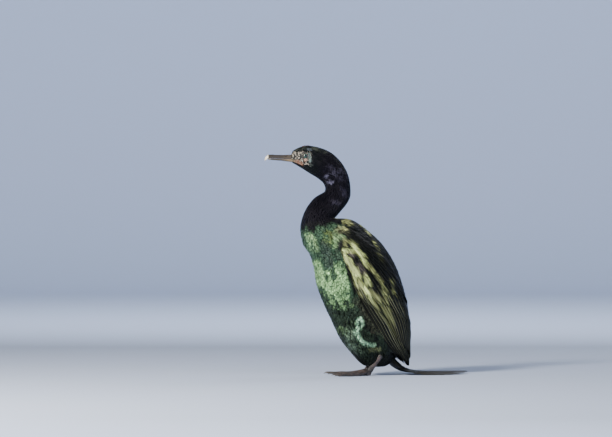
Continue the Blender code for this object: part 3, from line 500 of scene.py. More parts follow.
# Strokes on the head, the same way, but measured with the head facing straight ahead.
HORN_YELLOW, FACE_ORANGE, FACE_PINK = (0.26, 0.20, 0.115), (0.26, 0.115, 0.062), (0.47, 0.26, 0.18)
TEAL = (0.16, 0.25, 0.23)
HEAD_STROKES = (
    (-141, 376.5, -125, 373.5, 2.4, 0.90, 0.2, HORN_YELLOW),
    (-124, 372.5, -115, 368.5, 3.8, 0.95, 0.2, FACE_ORANGE),
    (-109, 376, -107.5, 376, 2.3, 0.95, 0.0, FACE_PINK),
    (-101, 386, -100, 373, 2.3, 0.90, 0.4, TEAL),
)
# Painted highlights on the head's feathers, the same way.
CROWN_GLOSS = (
    (-103, 394.5, -99, 394, 2.4, 0.70, 0.4, (0.12, 0.14, 0.16)),
    (-94, 396.5, -73, 390, 3.4, 0.75, 1.0, (0.060, 0.068, 0.050)),
    (-123, 394.5, -109, 398, 3.4, 0.60, 1.0, (0.080, 0.090, 0.072)),
    (-104, 371, -98, 366, 2.6, 0.60, 1.2, (0.10, 0.12, 0.10)),
)


def seen_from_side(places):
    """Along and up of places as the photo's camera sees them, in millimetres, on either flank."""
    along = math.cos(VIEW_TURN) * places[..., 0] - math.sin(VIEW_TURN) * np.abs(places[..., 1])
    return np.stack([along, places[..., 2]], axis=-1) / MM


def seen_on_head(places):
    ahead = in_head(places)
    return np.stack([ahead[..., 0], ahead[..., 2]], axis=-1) / MM


def on_stroke(seen, ends, half_width):
    """How far off a stroke places are, in half widths."""
    start, end = np.array(ends[:2], float), np.array(ends[2:], float)
    way = end - start
    share = np.clip((seen - start) @ way / (way @ way), 0, 1)
    return np.linalg.norm(seen - start - share[..., None] * way, axis=-1) / half_width


def stroked(colour, places, seen, strokes):
    """Lays strokes over a colour, at places that are seen at (along, up)."""
    torn = 0.7 * waves(places, 0.013, 4) + 0.5 * waves(places, 0.005, 9)
    frayed = 1 + 0.24 * waves(places, 0.0045, 31)
    for *ends, half_width, strength, ragged, tint in strokes:
        fade = np.exp(-((on_stroke(seen, ends, half_width) * frayed) ** 5))
        weight = strength * fade * np.clip(1 + ragged * (torn - 0.25), 0, 1.15)
        colour = mixed(colour, np.array(tint), np.clip(weight, 0, 1))
    return colour


def with_painted_gloss_and_shade(colour, places):
    """The plumage's painted highlights and painted shade over a colour, at places on or near the bird."""
    colour = stroked(colour, places, seen_from_side(places), GLOSS_AND_SHADE_STROKES)
    return stroked(colour, places, seen_on_head(places), CROWN_GLOSS)


# %% [markdown]
# ## One feather, then thousands
#
# A small feather is a thin vane, narrow at its root and round at its tip, a little arched over its shaft. It
# is modelled once from a grid: the grid's copy becomes the underside, and the two are joined round the edge,
# so the blank is a closed body of a few dozen faces. Laying the blank on the bird is arithmetic on whole
# arrays, because thousands of separate objects would be slow and heavy.


# %% A blank feather
def blank_feather(stops, strips):
    """A closed sheet, 0 to 1 along and -1 to 1 across; its height tells top, edge and underside."""
    bm = bmesh.new()
    bmesh.ops.create_grid(bm, x_segments=len(stops) - 1, y_segments=strips, size=1)
    for vert in bm.verts:
        vert.co.x = stops[round((vert.co.x + 1) / 2 * (len(stops) - 1))]
    inner = [vert for vert in bm.verts if not vert.is_boundary]
    under = bmesh.ops.duplicate(bm, geom=bm.verts[:] + bm.edges[:] + bm.faces[:])
    bmesh.ops.reverse_faces(bm, faces=[g for g in under["geom"] if isinstance(g, bmesh.types.BMFace)])
    for vert in inner:
        vert.co.z = 1
        under["vert_map"][vert].co.z = -1
    bmesh.ops.remove_doubles(bm, verts=bm.verts[:], dist=1e-5)
    bm.verts.index_update()
    points = np.array([vert.co for vert in bm.verts])
    faces = np.array([[vert.index for vert in face.verts] for face in bm.faces])
    bm.free()
    return {"along": points[:, 0], "across": points[:, 1], "side": points[:, 2], "faces": faces}


def vane_width(along, root=0.25):
    """The half width along a feather, as a share of its widest: narrow at the root, round at the tip."""
    widening = root + (1 - root) * smooth((along - 0.02) / 0.4)
    return widening * np.sqrt(np.clip(1 - np.clip((along - 0.55) / 0.46, 0, 1) ** 2.6, 0.0, 1))


SMALL_BLANK = blank_feather((0.0, 0.35, 0.7, 0.92, 1.0), 2)
BODY_BLANK = blank_feather((0.0, 0.36, 0.66, 0.89, 1.0), 4)
for label, blank in (("small", SMALL_BLANK), ("body", BODY_BLANK)):
    print(f"triangles in a {label} feather:", 2 * len(blank["faces"]))

# %% Many feathers joined in one mesh
# The side of the square that one feather gets in the map for baking.
PATCH = 0.003


def joined(name, points, blank, plumage, root_places, tone=1.0, patch=PATCH):
    """One mesh of many feathers, with points for each feather and each point of the blank.

    plumage is one colour for each feather, or one for each of its points. root_places are the roots in the
    map for baking, round which each feather has its patch.
    """
    count, each = points.shape[:2]
    faces = (blank["faces"][None] + each * np.arange(count)[:, None, None]).reshape(-1, 4)
    mesh = bpy.data.meshes.new(name)
    mesh.vertices.add(count * each)
    mesh.vertices.foreach_set("co", (points + np.array(SHIFT)).astype(np.float32).ravel())
    mesh.loops.add(faces.size)
    mesh.loops.foreach_set("vertex_index", faces.ravel().astype(np.int32))
    mesh.polygons.add(len(faces))
    mesh.polygons.foreach_set("loop_start", np.arange(0, faces.size, 4, dtype=np.int32))
    mesh.update(calc_edges=True)

    local = np.stack([blank["along"], (blank["across"] + 1) / 2], axis=-1)
    own = np.broadcast_to(local, (count, each, 2)).reshape(-1, 2)
    patches = root_places[:, None] + (local[None] - 0.5) * patch
    for map_name, places in (("OFBake", patches.reshape(-1, 2)), ("vane", own)):
        layer = mesh.uv_layers.new(name=map_name)
        layer.data.foreach_set("uv", places[faces.ravel()].astype(np.float32).ravel())
    colour = mesh.attributes.new("plumage", "FLOAT_COLOR", "POINT")
    spread = np.ones((count, each, 4), np.float32)
    spread[..., :3] = plumage if plumage.ndim == 3 else plumage[:, None]
    colour.data.foreach_set("color", spread.ravel())
    shade = mesh.attributes.new("tone", "FLOAT", "POINT")
    tones = np.repeat(np.broadcast_to(tone, count), each)
    shade.data.foreach_set("value", tones.astype(np.float32))
    mesh.shade_smooth()
    return bpy.data.objects.new(name, mesh)


def on_map(area, across, up):
    """Places in an area of the map for baking, at shares of its width and height."""
    (left, right), (low, high) = area
    return np.stack([left + (right - left) * across, low + (high - low) * up], axis=1)


def put(piece, slot, *nodes, material):
    """Adds a piece to the scene, on the one body, and hides the nodes that it stands for; slot is not used.
    """
    bpy.context.scene.collection.objects.link(piece)
    piece.data.materials.append(material)
    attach(piece, "root")
    if nodes:
        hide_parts(*nodes)
    print(f"{piece.name}: {sum(len(p.vertices) - 2 for p in piece.data.polygons)} triangles")


# %% [markdown]
# ## Materials of the plumage
#
# A feather's colour here is partly its place on the bird and partly its own: some are brighter than their
# neighbours, each is darker towards its root and has a rim of its own colour, and fine barbs slant away from
# a thin shaft. The colour and the tone come from the mesh, and the rest is drawn in the feather's own map,
# from root to tip.


# %% Helpers for shaders
def maths(tree, operation, *values):
    """A Math node; a value may be a number or another node's output."""
    made = tree.nodes.new("ShaderNodeMath")
    made.operation = operation
    for socket, value in zip(made.inputs, values):
        if isinstance(value, (int, float)):
            socket.default_value = value
        else:
            tree.links.new(value, socket)
    return made.outputs[0]


def times(tree, first, second):
    return maths(tree, "MULTIPLY", first, second)


def plus(tree, first, second):
    return maths(tree, "ADD", first, second)


def texture(tree, kind, **values):
    """A texture that lies in the bird's own space."""
    made = node(tree, "Tex" + kind, **values)
    tree.links.new(node(tree, "TexCoord").outputs["Object"], made.inputs["Vector"])
    return made


def raised(tree, shader, height, strength, distance):
    """Lets a height stand out from the surface."""
    bump = node(tree, "Bump", Strength=strength, Distance=distance)
    tree.links.new(height, bump.inputs["Height"])
    tree.links.new(bump.outputs["Normal"], shader.inputs["Normal"])


def ramp(tree, value, low, high):
    """0 up to low, 1 from high on, and smooth in between."""
    made = node(tree, "MapRange", interpolation_type="SMOOTHSTEP")
    made.inputs["From Min"].default_value = low
    made.inputs["From Max"].default_value = high
    tree.links.new(value, made.inputs["Value"])
    return made.outputs["Result"]


def blend_colour(tree, share, first, second, kind="MIX"):
    """A Mix node for colours; each may be three numbers or another node's output."""
    made = node(tree, "Mix", data_type="RGBA", blend_type=kind)
    # A Mix node has sockets for every type of data; these are the share's and the two colours'.
    sockets = [made.inputs[0], made.inputs[6], made.inputs[7]]
    for socket, value in zip(sockets, (share, first, second)):
        if isinstance(value, tuple):
            socket.default_value = (*value, 1)
        elif isinstance(value, (int, float)):
            socket.default_value = value
        else:
            tree.links.new(value, socket)
    return made.outputs[2]


# %% Feather finish
def feather_finish(name, edge, edge_share, roughness, metallic, barbs, shaft=0.0, front=None, **sockets):
    """A feather's material: edge is the rim's colour, edge_share how much of it shows, barbs their count.

    shaft is how much of the shaft's colour shows. front is the colour of a pale line along the vane's front
    edge, where it has one; that line is partly the edge's own pale colour and partly a painted highlight.
    """
    material, tree, shader = finish(name, (0.05, 0.05, 0.05), roughness, metallic, **sockets)
    plumage = node(tree, "Attribute", attribute_name="plumage").outputs["Color"]
    tone = node(tree, "Attribute", attribute_name="tone").outputs["Fac"]
    parts = node(tree, "SeparateXYZ")
    tree.links.new(node(tree, "UVMap", uv_map="vane").outputs["UV"], parts.inputs[0])
    along, across = parts.outputs["X"], parts.outputs["Y"]
    off_shaft = maths(tree, "ABSOLUTE", maths(tree, "SUBTRACT", across, 0.5))
    grain = texture(tree, "Noise", Scale=900.0, Detail=3.0).outputs["Fac"]

    slant = plus(tree, times(tree, along, barbs), times(tree, off_shaft, -0.6 * barbs))
    slant = plus(tree, slant, times(tree, grain, 1.2))
    barb = maths(tree, "SINE", times(tree, slant, math.tau))
    rim = maths(tree, "MAXIMUM", ramp(tree, off_shaft, 0.36, 0.49), ramp(tree, along, 0.86, 0.99))
    ragged = times(tree, rim, ramp(tree, grain, 0.30, 0.55))

    lit = plus(tree, tone, times(tree, ramp(tree, along, 0.25, 0.85), 0.35))
    lit = plus(tree, lit, times(tree, barb, 0.10))
    shade = node(tree, "CombineXYZ")
    for socket in shade.inputs:
        tree.links.new(lit, socket)
    colour = blend_colour(tree, 1.0, plumage, shade.outputs[0], "MULTIPLY")
    colour = blend_colour(tree, times(tree, ragged, edge_share), colour, edge)
    if shaft:
        on_shaft = maths(tree, "SUBTRACT", 1.0, ramp(tree, off_shaft, 0.008, 0.028))
        colour = blend_colour(tree, times(tree, on_shaft, shaft), colour, (0.10, 0.085, 0.06))
    # a pale line along the front edge: partly the vane's own pale edge, partly a painted highlight
    if front:
        on_front = maths(tree, "SUBTRACT", 1.0, ramp(tree, across, 0.05, 0.16))
        wear_and_sheen = times(tree, on_front, ramp(tree, grain, 0.25, 0.50))
        toned_front = blend_colour(tree, 1.0, shade.outputs[0], front, "MULTIPLY")
        colour = blend_colour(tree, times(tree, wear_and_sheen, 0.85), colour, toned_front)
    tree.links.new(colour, shader.inputs["Base Color"])
    uneven = times(tree, maths(tree, "SUBTRACT", grain, 0.5), 0.25)
    gloss = plus(tree, plus(tree, roughness, uneven), times(tree, rim, 0.08))
    tree.links.new(gloss, shader.inputs["Roughness"])
    raised(tree, shader, barb, 0.35, 0.0002)
    return material


# %% [markdown]
# ## Skin
#
# Under the feathers lies one skin from the bill to the vent, with the two thighs grown into it. It follows
# the same rings as the plumage but lies deeper by the thickness of the coat: hardly at all round the face,
# where a cormorant is bare, and more on the trunk. The three closed tubes are merged by a Boolean union, so
# the skin is one surface with no seam at the thigh.


# %% How deep the coat is
FACE_COAT, HEAD_COAT, NECK_COAT, TRUNK_COAT = 0.25 * MM, 0.9 * MM, 1.5 * MM, 2.6 * MM
FACE_END = 3.3
MOUTH_START, MOUTH_CORNER = np.array((-134, 377)) * MM, np.array((-111.5, 368)) * MM
BARE_ZONES = (
    # along and up of both ends with the head facing ahead, half width: before the eye, under it, behind it
    (-136, 384, -114, 384, 7.4),
    (-120, 376, -104, 373, 5.6),
    (-102.5, 387, -101.5, 374, 4.2),
)


def over_mouth(points):
    """How far back on the mouth line places are, 0 at the bill and 1 at its corner, and how high over it."""
    ahead = in_head(points)
    back = (ahead[..., 0] - MOUTH_START[0]) / (MOUTH_CORNER[0] - MOUTH_START[0])
    line = between(MOUTH_START[1], MOUTH_CORNER[1], np.clip(back, 0, 1) ** 1.3)
    return back, points[..., 2] - line


def bare_face(k, angle):
    """1 on the bare skin round the eye and on both sides of the mouth line, 0 on feathers."""
    place = body(k, angle)
    back, above = over_mouth(place)
    seen = seen_on_head(place)
    frayed = 0.22 * waves(place, 0.0045, 21)
    bare = smooth((1.05 - back) / 0.12) * smooth((above + 4.4 * MM) / (1.4 * MM))
    bare = bare * smooth((3.0 * MM - above) / (1.2 * MM))
    for *ends, half_width in BARE_ZONES:
        bare = np.maximum(bare, smooth((1.10 + frayed - on_stroke(seen, ends, half_width)) / 0.30))
    bare = bare * smooth((np.abs(np.sin(angle)) - 0.2) / 0.2)
    return bare * smooth((FACE_END + 1.0 - np.asarray(k)) / 0.5)


def coat_depth(k, angle):
    """How thick the coat of feathers is over the skin."""
    depth = between(HEAD_COAT, NECK_COAT, smooth((k - 4.5) / 4))
    depth = between(depth, TRUNK_COAT, smooth((k - 13.5) / 3))
    depth = depth * smooth((BODY_END + 0.8 - k) / 2)
    return between(depth, FACE_COAT, bare_face(k, angle))


THIGH_RINGS = MM * np.array((
    # centre x, centre z, half depth, half width
    (-40, 110, 6, 4),
    (-35, 100, 15, 11),
    (-28, 83, 21, 16),
    (-19, 65, 22, 17),
    (-9, 47, 19, 15),
    (0, 32, 14, 11),
    (6, 21, 9, 7),
    (8, 17, 5, 4),
))
THIGH_Y, THIGH_LEAN = 25 * MM, math.radians(24)
THIGH_END = len(THIGH_RINGS) - 1.0
STANCE = {LEFT: 0.0, RIGHT: 12 * MM}
THIGH_COAT = 2.0 * MM


def thigh(k, angle, grow, side):
    """Points on the thigh's lobe: k counts its rings from the top, angle goes round from its front."""
    k, angle, grow = np.broadcast_arrays(np.asarray(k, float), angle, grow)
    rows = rows_at(THIGH_RINGS, np.clip(k, 0, THIGH_END))
    reach = (rows[..., 2] + grow) * np.cos(angle)
    x = rows[..., 0] + STANCE[side] + reach * math.cos(THIGH_LEAN)
    y = side * THIGH_Y * (1 - 0.12 * k / THIGH_END) + (rows[..., 3] + grow) * np.sin(angle)
    ends = np.where(k < 0.01, -1, np.where(k > THIGH_END - 0.01, 1, 0)) * grow
    return np.stack([x, y, rows[..., 1] - ends + reach * math.sin(THIGH_LEAN)], axis=-1)


# %% Tubes from a grid
def ring_grid(first, last, rings, around):
    """k and angle of places on a tube, at even steps along it and round it."""
    angles = math.tau * np.arange(around) / around
    return np.meshgrid(np.linspace(first, last, rings), angles, indexing="ij")


def tube(rings, maps=None):
    """A bmesh over rings of points, shaped (ring, point, xyz), closed round and capped, with its map."""
    count, around = rings.shape[:2]
    bm = bmesh.new()
    bmesh.ops.create_grid(bm, x_segments=around, y_segments=count - 1, size=1, calc_uvs=False)
    bm.verts.ensure_lookup_table()
    layer = bm.loops.layers.uv.new("OFBake")
    if maps:
        (u0, u1), (v0, v1) = maps
        for face in bm.faces:
            for loop in face.loops:
                x, y = (loop.vert.co.x + 1) / 2, (loop.vert.co.y + 1) / 2
                loop[layer].uv = (u0 + (u1 - u0) * x, v0 + (v1 - v0) * y)
    for row in range(count):
        for column in range(around + 1):
            bm.verts[row * (around + 1) + column].co = rings[row, column % around]
    bmesh.ops.remove_doubles(bm, verts=bm.verts[:], dist=1e-7)
    bmesh.ops.holes_fill(bm, edges=[edge for edge in bm.edges if edge.is_boundary], sides=0)
    bmesh.ops.recalc_face_normals(bm, faces=bm.faces[:])
    return bm


def apply_modifiers(piece):
    """Replaces a piece's mesh by what its modifiers make of it."""
    bpy.context.view_layer.update()
    made = bpy.data.meshes.new_from_object(piece.evaluated_get(bpy.context.evaluated_depsgraph_get()))
    made.materials.clear()
    piece.modifiers.clear()
    piece.data = made


# %% The eye's place, and the skin round it
EYE_RADIUS = 5.2 * MM
BROW_RADIUS, BROW_WIDTH, BROW_HEIGHT, SOCKET_DEPTH = 6.6 * MM, 1.6 * MM, 0.35 * MM, 4.0 * MM
SKIN_AROUND, SKIN_ALONG, FACE_ALONG = 144, 330, 110

eye_middle = {name: np.array(sum(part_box(f"eye_{name}"), Vector()) / 2 - SHIFT) for name in SIDES}
# Areas of the map for baking, each as its two sides, then its foot and its head.
BODY_MAP = ((0.02, 0.60), (0.02, 0.98))
THIGH_MAPS = {LEFT: ((0.64, 0.80), (0.02, 0.30)), RIGHT: ((0.82, 0.98), (0.02, 0.30))}


def mouth_fold(points):
    """1 in the fold of skin that carries the mouth line back from the bill to the corner under the eye."""
    back, above = over_mouth(points)
    return np.exp(-((above / (0.5 * MM)) ** 2)) * smooth((back + 0.02) / 0.04) * smooth((1.0 - back) / 0.15)


def skin_rings(k, around):
    """The skin's rings, with the fold of the mouth and small wrinkles beside it pressed in."""
    angle = math.tau * np.arange(around) / around
    k, angle = np.broadcast_arrays(k[:, None], angle[None])
    place = body(k, angle)
    wrinkles = 0.12 * MM * waves(place * np.array((1, 1, 2.5)), 0.0035, 12) * bare_face(k, angle)
    return body(k, angle, wrinkles - coat_depth(k, angle) - 0.7 * MM * mouth_fold(place))


def sink_sockets(points):
    """Presses the skin in behind each eyeball, and lifts it in a ring round it, as a brow and cheek."""
    for name, side in SIDES.items():
        away = points - eye_middle[name]
        distance = np.linalg.norm(away, axis=-1, keepdims=True)
        outward = turned_way(np.array((0.0, side, 0.0)))
        same_side = smooth((away @ outward / EYE_RADIUS + 1.0) / 0.5)[..., None]
        inner = smooth((EYE_RADIUS * 1.02 - distance) / (0.25 * EYE_RADIUS)) * same_side
        points = points - outward * inner * SOCKET_DEPTH
        brow = np.exp(-(((distance - BROW_RADIUS) / BROW_WIDTH) ** 2)) * same_side
        points = points + outward * brow * BROW_HEIGHT
    return points


face_stops = np.linspace(0, FACE_END, FACE_ALONG, endpoint=False)
k_stops = np.concatenate([face_stops, np.linspace(FACE_END, BODY_END, SKIN_ALONG)])
skin = mesh_object(tube(sink_sockets(skin_rings(k_stops, SKIN_AROUND)), BODY_MAP), "skin", shift=False)
lobes = []
for name, side in SIDES.items():
    lobe_rings = thigh(*ring_grid(0, THIGH_END, 40, 40), -THIGH_COAT, side)
    lobe = mesh_object(tube(lobe_rings, THIGH_MAPS[side]), f"lobe_{name}", shift=False)
    bpy.context.scene.collection.objects.link(lobe)
    union = skin.modifiers.new("union", "BOOLEAN")
    union.operation = "UNION"
    union.object = lobe
    union.solver = "MANIFOLD"
    lobes.append(lobe)
bpy.context.scene.collection.objects.link(skin)
apply_modifiers(skin)
for lobe in lobes:
    bpy.data.objects.remove(lobe, do_unlink=True)
bpy.context.scene.collection.objects.unlink(skin)

# %% The skin's colours
tree_k, tree_angle = ring_grid(0, BODY_END, 220, 72)
nearest = KDTree(tree_k.size)
for i, place in enumerate(body(tree_k, tree_angle, -NECK_COAT).reshape(-1, 3)):
    nearest.insert(place, i)
nearest.balance()

LORE_DARK = np.array((0.010, 0.012, 0.009))


def face_colour(k, angle):
    """Bare skin: dark before the eye, yellow and orange at the lips, pink under the eye, teal behind it."""
    place = body(k, angle)
    return stroked(np.broadcast_to(LORE_DARK, place.shape), place, seen_on_head(place), HEAD_STROKES)


found = [nearest.find(vert.co)[1] for vert in skin.data.vertices]
skin_k, skin_angle = tree_k.ravel()[found], tree_angle.ravel()[found]
skin_places = np.array([vert.co for vert in skin.data.vertices])
colour = with_painted_gloss_and_shade(undercoat(skin_k, skin_angle), skin_places) * 0.5
bare = bare_face(skin_k, skin_angle)
colour = mixed(colour, face_colour(skin_k, skin_angle), bare)
# the crease of the mouth line is darkened: painted shade
colour = mixed(colour, LORE_DARK * 0.4, 0.9 * mouth_fold(skin_places) * bare)
stored = np.ones((len(colour), 4), np.float32)
stored[:, :3] = colour
skin.data.attributes.new("plumage", "FLOAT_COLOR", "POINT").data.foreach_set("color", stored.ravel())
skin.data.attributes.new("bare", "FLOAT", "POINT").data.foreach_set("value", bare.astype(np.float32))
skin.data.transform(Matrix.Translation(SHIFT))
skin.data.shade_smooth()


def skin_finish():
    """Dull dark skin under the feathers, and pebbly skin on the bare face with pale flecks, painted glints
    of wet skin.
    """
    material, tree, shader = finish("bare_skin", (0.05, 0.04, 0.03), 0.55)
    plumage = node(tree, "Attribute", attribute_name="plumage").outputs["Color"]
    bare_part = node(tree, "Attribute", attribute_name="bare").outputs["Fac"]
    pebbles = texture(tree, "Voronoi", Scale=1300.0).outputs["Distance"]
    blotches = texture(tree, "Noise", Scale=420.0, Detail=3.0).outputs["Fac"]
    # pale flecks on the bare face: painted glints of wet skin
    glint_flecks = times(tree, ramp(tree, blotches, 0.56, 0.66), bare_part)
    colour = blend_colour(tree, times(tree, glint_flecks, 0.18), plumage, (0.50, 0.42, 0.30))
    tree.links.new(colour, shader.inputs["Base Color"])
    raised(tree, shader, pebbles, 0.6, 0.0004)
    return material


put(
    skin, "plumage_green", "head", "neck_upper", "neck_lower", "torso", "thigh_left", "thigh_right",
    material=skin_finish(),
)

# %% [markdown]
# ## Where each body feather grows
#
# Feathers grow at an even distance from each other, closer on the head than on the belly, but never in a
# perfect grid. To get this, far too many places are drawn at random and then thinned: a place stays only if
# no earlier one is nearer than the spacing of that part of the body.


# %% Scattering roots
def thinned(points, spacing):
    """Which points stay when none may be nearer to an earlier one than its spacing."""
    tree = KDTree(len(points))
    for i, point in enumerate(points):
        tree.insert(point, i)
    tree.balance()
    dropped = np.zeros(len(points), bool)
    kept = []
    for i, point in enumerate(points):
        if dropped[i]:
            continue
        kept.append(i)
        for _, j, _ in tree.find_range(point, spacing[i]):
            dropped[j] = True
    return np.array(kept)


SMALL_STEP = 0.01


def small_moves(place, k, angle):
    """How a surface's points move when k, and then the angle, goes from a small step below to one above."""
    along = place(k + SMALL_STEP, angle) - place(k - SMALL_STEP, angle)
    across = place(k, angle + SMALL_STEP) - place(k, angle - SMALL_STEP)
    return along, across


def scattered(place, k_span, spacing, crowd=6, rings=60, around=24):
    """Roots over a surface place(k, angle), with spacing(k) between them."""
    probe_k, probe_angle = ring_grid(*k_span, rings, around)
    along, across = small_moves(place, probe_k, probe_angle)
    area = np.linalg.norm(np.cross(along / (2 * SMALL_STEP), across / (2 * SMALL_STEP)), axis=-1)
    weight = area / spacing(probe_k) ** 2
    length = k_span[1] - k_span[0]
    count = int(crowd * weight.mean() * math.tau * length)
    pick = draw.choice(weight.size, size=count, p=(weight / weight.sum()).ravel())
    k = probe_k.ravel()[pick] + draw.uniform(-0.5, 0.5, count) * length / (rings - 1)
    angle = probe_angle.ravel()[pick] + draw.uniform(-0.5, 0.5, count) * math.tau / around
    k = np.clip(k, *k_span)
    kept = thinned(place(k, angle), spacing(k))
    return k[kept], angle[kept]


def even(spacing):
    """The same spacing everywhere, in the form that scattered() asks for."""
    return lambda k: np.full(np.shape(k), spacing)


def laid(place, k, angle, blank, length, half_width, depth, rise, turn, roll, arch, thick):
    """Points of feathers laid along a surface from their roots: (feather, point of the blank, xyz).

    A root lies depth under the surface and its tip stands off it by rise; turn swings the feather sideways,
    roll tips it over its shaft, and arch is how high the vane bulges, as a share of its half width.
    """
    along, across = small_moves(place, k, angle)
    along_step = np.maximum(np.linalg.norm(along, axis=-1) / (2 * SMALL_STEP), 4 * MM)
    across_step = np.maximum(np.linalg.norm(across, axis=-1) / (2 * SMALL_STEP), 4 * MM)
    u, v = blank["along"][None], blank["across"][None]
    half = half_width[:, None]
    x, y = u * length[:, None], v * vane_width(u) * half
    cosine, sine = np.cos(turn)[:, None], np.sin(turn)[:, None]
    x, y = x * cosine - y * sine, x * sine + y * cosine
    lift = -depth[:, None] * (1 - np.minimum(u / 0.85, 1)) + rise[:, None] * u**1.5
    lift = lift + arch * half * (1 - v**2) * vane_width(u) + roll[:, None] * v * half
    lift = lift + blank["side"][None] * thick / 2
    return place(k[:, None] + x / along_step[:, None], angle[:, None] + y / across_step[:, None], lift)


# %% [markdown]
# ## The folded wing's surface
#
# A folded wing lies on the side of the body like a shield. Its own coordinates run from the shoulder to the
# wing tip and from the front edge to the back edge. At the front the sheet rolls under, because the wing's
# leading edge is as thick as a finger, and towards the back it sinks to the body, where the shoulder
# feathers cover the join.


# %% Wing coordinates
EDGE_ROUND, SHEET_DEPTH = 4.2 * MM, 0.9 * MM
BACK_SINKS_FROM, BACK_SINKS_OVER = 0.84, 0.20


def wing_sheet(s, t, side):
    """Points of the wing's outer sheet: s from shoulder to tip, t from the front edge to the back edge."""
    s, t = np.broadcast_arrays(s, t)
    rows = rows_at(WING_RINGS, np.clip(s, -0.06, 1.04) * (len(WING_RINGS) - 1))
    angle = np.radians(rows[..., 5] + (rows[..., 6] - rows[..., 5]) * t)
    points = on_rings(rows[..., :5] * MM, angle, np.zeros_like(angle))
    points[..., 1] *= side
    return points


def off_surface(surface, points):
    """How far points are from a closed surface, and how high they stand over it, below 0 inside."""
    distances, heights = [], []
    for point in points:
        near, normal, _, distance = surface.find_nearest(Vector(point))
        distances.append(distance)
        heights.append((Vector(point) - near).dot(normal))
    return np.array(distances), np.array(heights)


stations = np.linspace(0, 1, 41)
edge_to_edge = wing_sheet(stations[:, None], np.linspace(0, 1, 33)[None], RIGHT)
breadths = np.linalg.norm(np.diff(edge_to_edge, axis=1), axis=-1).sum(axis=1)

bm = tube(body(*ring_grid(0, BODY_END, 160, 64)))
body_solid = BVHTree.FromBMesh(bm)
bm.free()
back_edge = [wing_sheet(np.array(s), np.array(0.98), RIGHT) for s in stations]
distances, heights = off_surface(body_solid, back_edge)
back_gap = distances * np.sign(heights)
print("the wing's back edge stands off the body by (mm):", np.round(back_gap[::8] * 1000, 1))


def breadth_at(s):
    """How broad the wing's sheet is, from edge to edge."""
    return np.interp(s, stations, breadths)


def wing(s, t, lift, side):
    """Points over the folded wing, with its front edge rolled under and its back edge sunk to the body."""
    s, t, lift = np.broadcast_arrays(s, t, lift)
    held = np.maximum(t, 0.0)
    here = wing_sheet(s, held, side)
    along, across = small_moves(lambda s, t: wing_sheet(s, t, side), s, held)
    along, across = unit(along), unit(across)
    normal = unit(np.cross(along, across)) * -side
    roll = np.clip(np.maximum(-t, 0.0) * breadth_at(s) / EDGE_ROUND, 0, 2.4)[..., None]
    here = here - across * EDGE_ROUND * np.sin(roll) - normal * EDGE_ROUND * (1 - np.cos(roll))
    normal = normal * np.cos(roll) - across * np.sin(roll)
    sink = np.interp(s, stations, back_gap) * smooth((t - BACK_SINKS_FROM) / BACK_SINKS_OVER)
    return here + normal * (lift - sink - SHEET_DEPTH)[..., None]


bm = bmesh.new()
for side in SIDES.values():
    cover = wing_sheet(np.linspace(0.05, 1, 40)[:, None], np.linspace(0.10, 0.86, 16)[None], side)
    made = bmesh.ops.create_grid(bm, x_segments=15, y_segments=39, size=1)["verts"]
    for vert, place in zip(made, cover.reshape(-1, 3)):
        vert.co = place
wing_cover = BVHTree.FromBMesh(bm)
bm.free()


# %% Feathers of the head, neck and trunk
def from_face_to_trunk(k, face, head, neck, trunk):
    """A measure of the coat that changes softly along the body."""
    measure = between(face, head, smooth((k - 1.5) / 3))
    measure = between(measure, neck, smooth((k - 6) / 4))
    return between(measure, trunk, smooth((k - 13.5) / 4))


def body_spacing(k):
    """How far apart the roots are: closest on the face, widest on the belly and the back."""
    return from_face_to_trunk(k, 0.95 * MM, 1.25 * MM, 1.7 * MM, 2.9 * MM)


def hidden_by_wing(points, normals):
    """Which places lie well under a folded wing, where no one sees them."""
    hidden = np.zeros(len(points), bool)
    for i, (point, normal) in enumerate(zip(points, normals)):
        hit = wing_cover.ray_cast(Vector(point), Vector(normal), 0.03)
        hidden[i] = hit[0] is not None
    return hidden


def inside_lobe(points, side, margin):
    """Which places lie inside a thigh's lobe that is smaller by a margin."""
    bm = tube(thigh(*ring_grid(0, THIGH_END, 24, 24), -margin, side))
    lobe = BVHTree.FromBMesh(bm)
    bm.free()
    return off_surface(lobe, points)[1] < 0


def body_normals(k, angle):
    """Which way is straight out of the body."""
    along, across = small_moves(body, k, angle)
    return unit(np.cross(across, along))


def off_eyes(points):
    """How far places are from the middle of the nearer eye."""
    return np.min([np.linalg.norm(points - eye_middle[name], axis=1) for name in SIDES], axis=0)


FEATHERS_OFF_EYE = 6.3 * MM
WING_BEGINS, THIGH_BEGINS = 16, 20
root_k, root_angle = scattered(body, (0.25, BODY_END - 0.5), body_spacing)
root_angle = root_angle % math.tau
places = body(root_k, root_angle)
hidden = (root_k > WING_BEGINS) & hidden_by_wing(places, body_normals(root_k, root_angle))
near_lobe = root_k > THIGH_BEGINS
for side in SIDES.values():
    hidden[near_lobe] |= inside_lobe(places[near_lobe], side, 1.5 * MM)
near_eye = off_eyes(places) < FEATHERS_OFF_EYE
bare_here = bare_face(root_k, root_angle) > draw.uniform(0.25, 0.75, len(root_k))
shown = ~(hidden | near_eye | bare_here)
root_k, root_angle = root_k[shown], root_angle[shown]
print("body feathers:", len(root_k), "of", len(shown), "places")


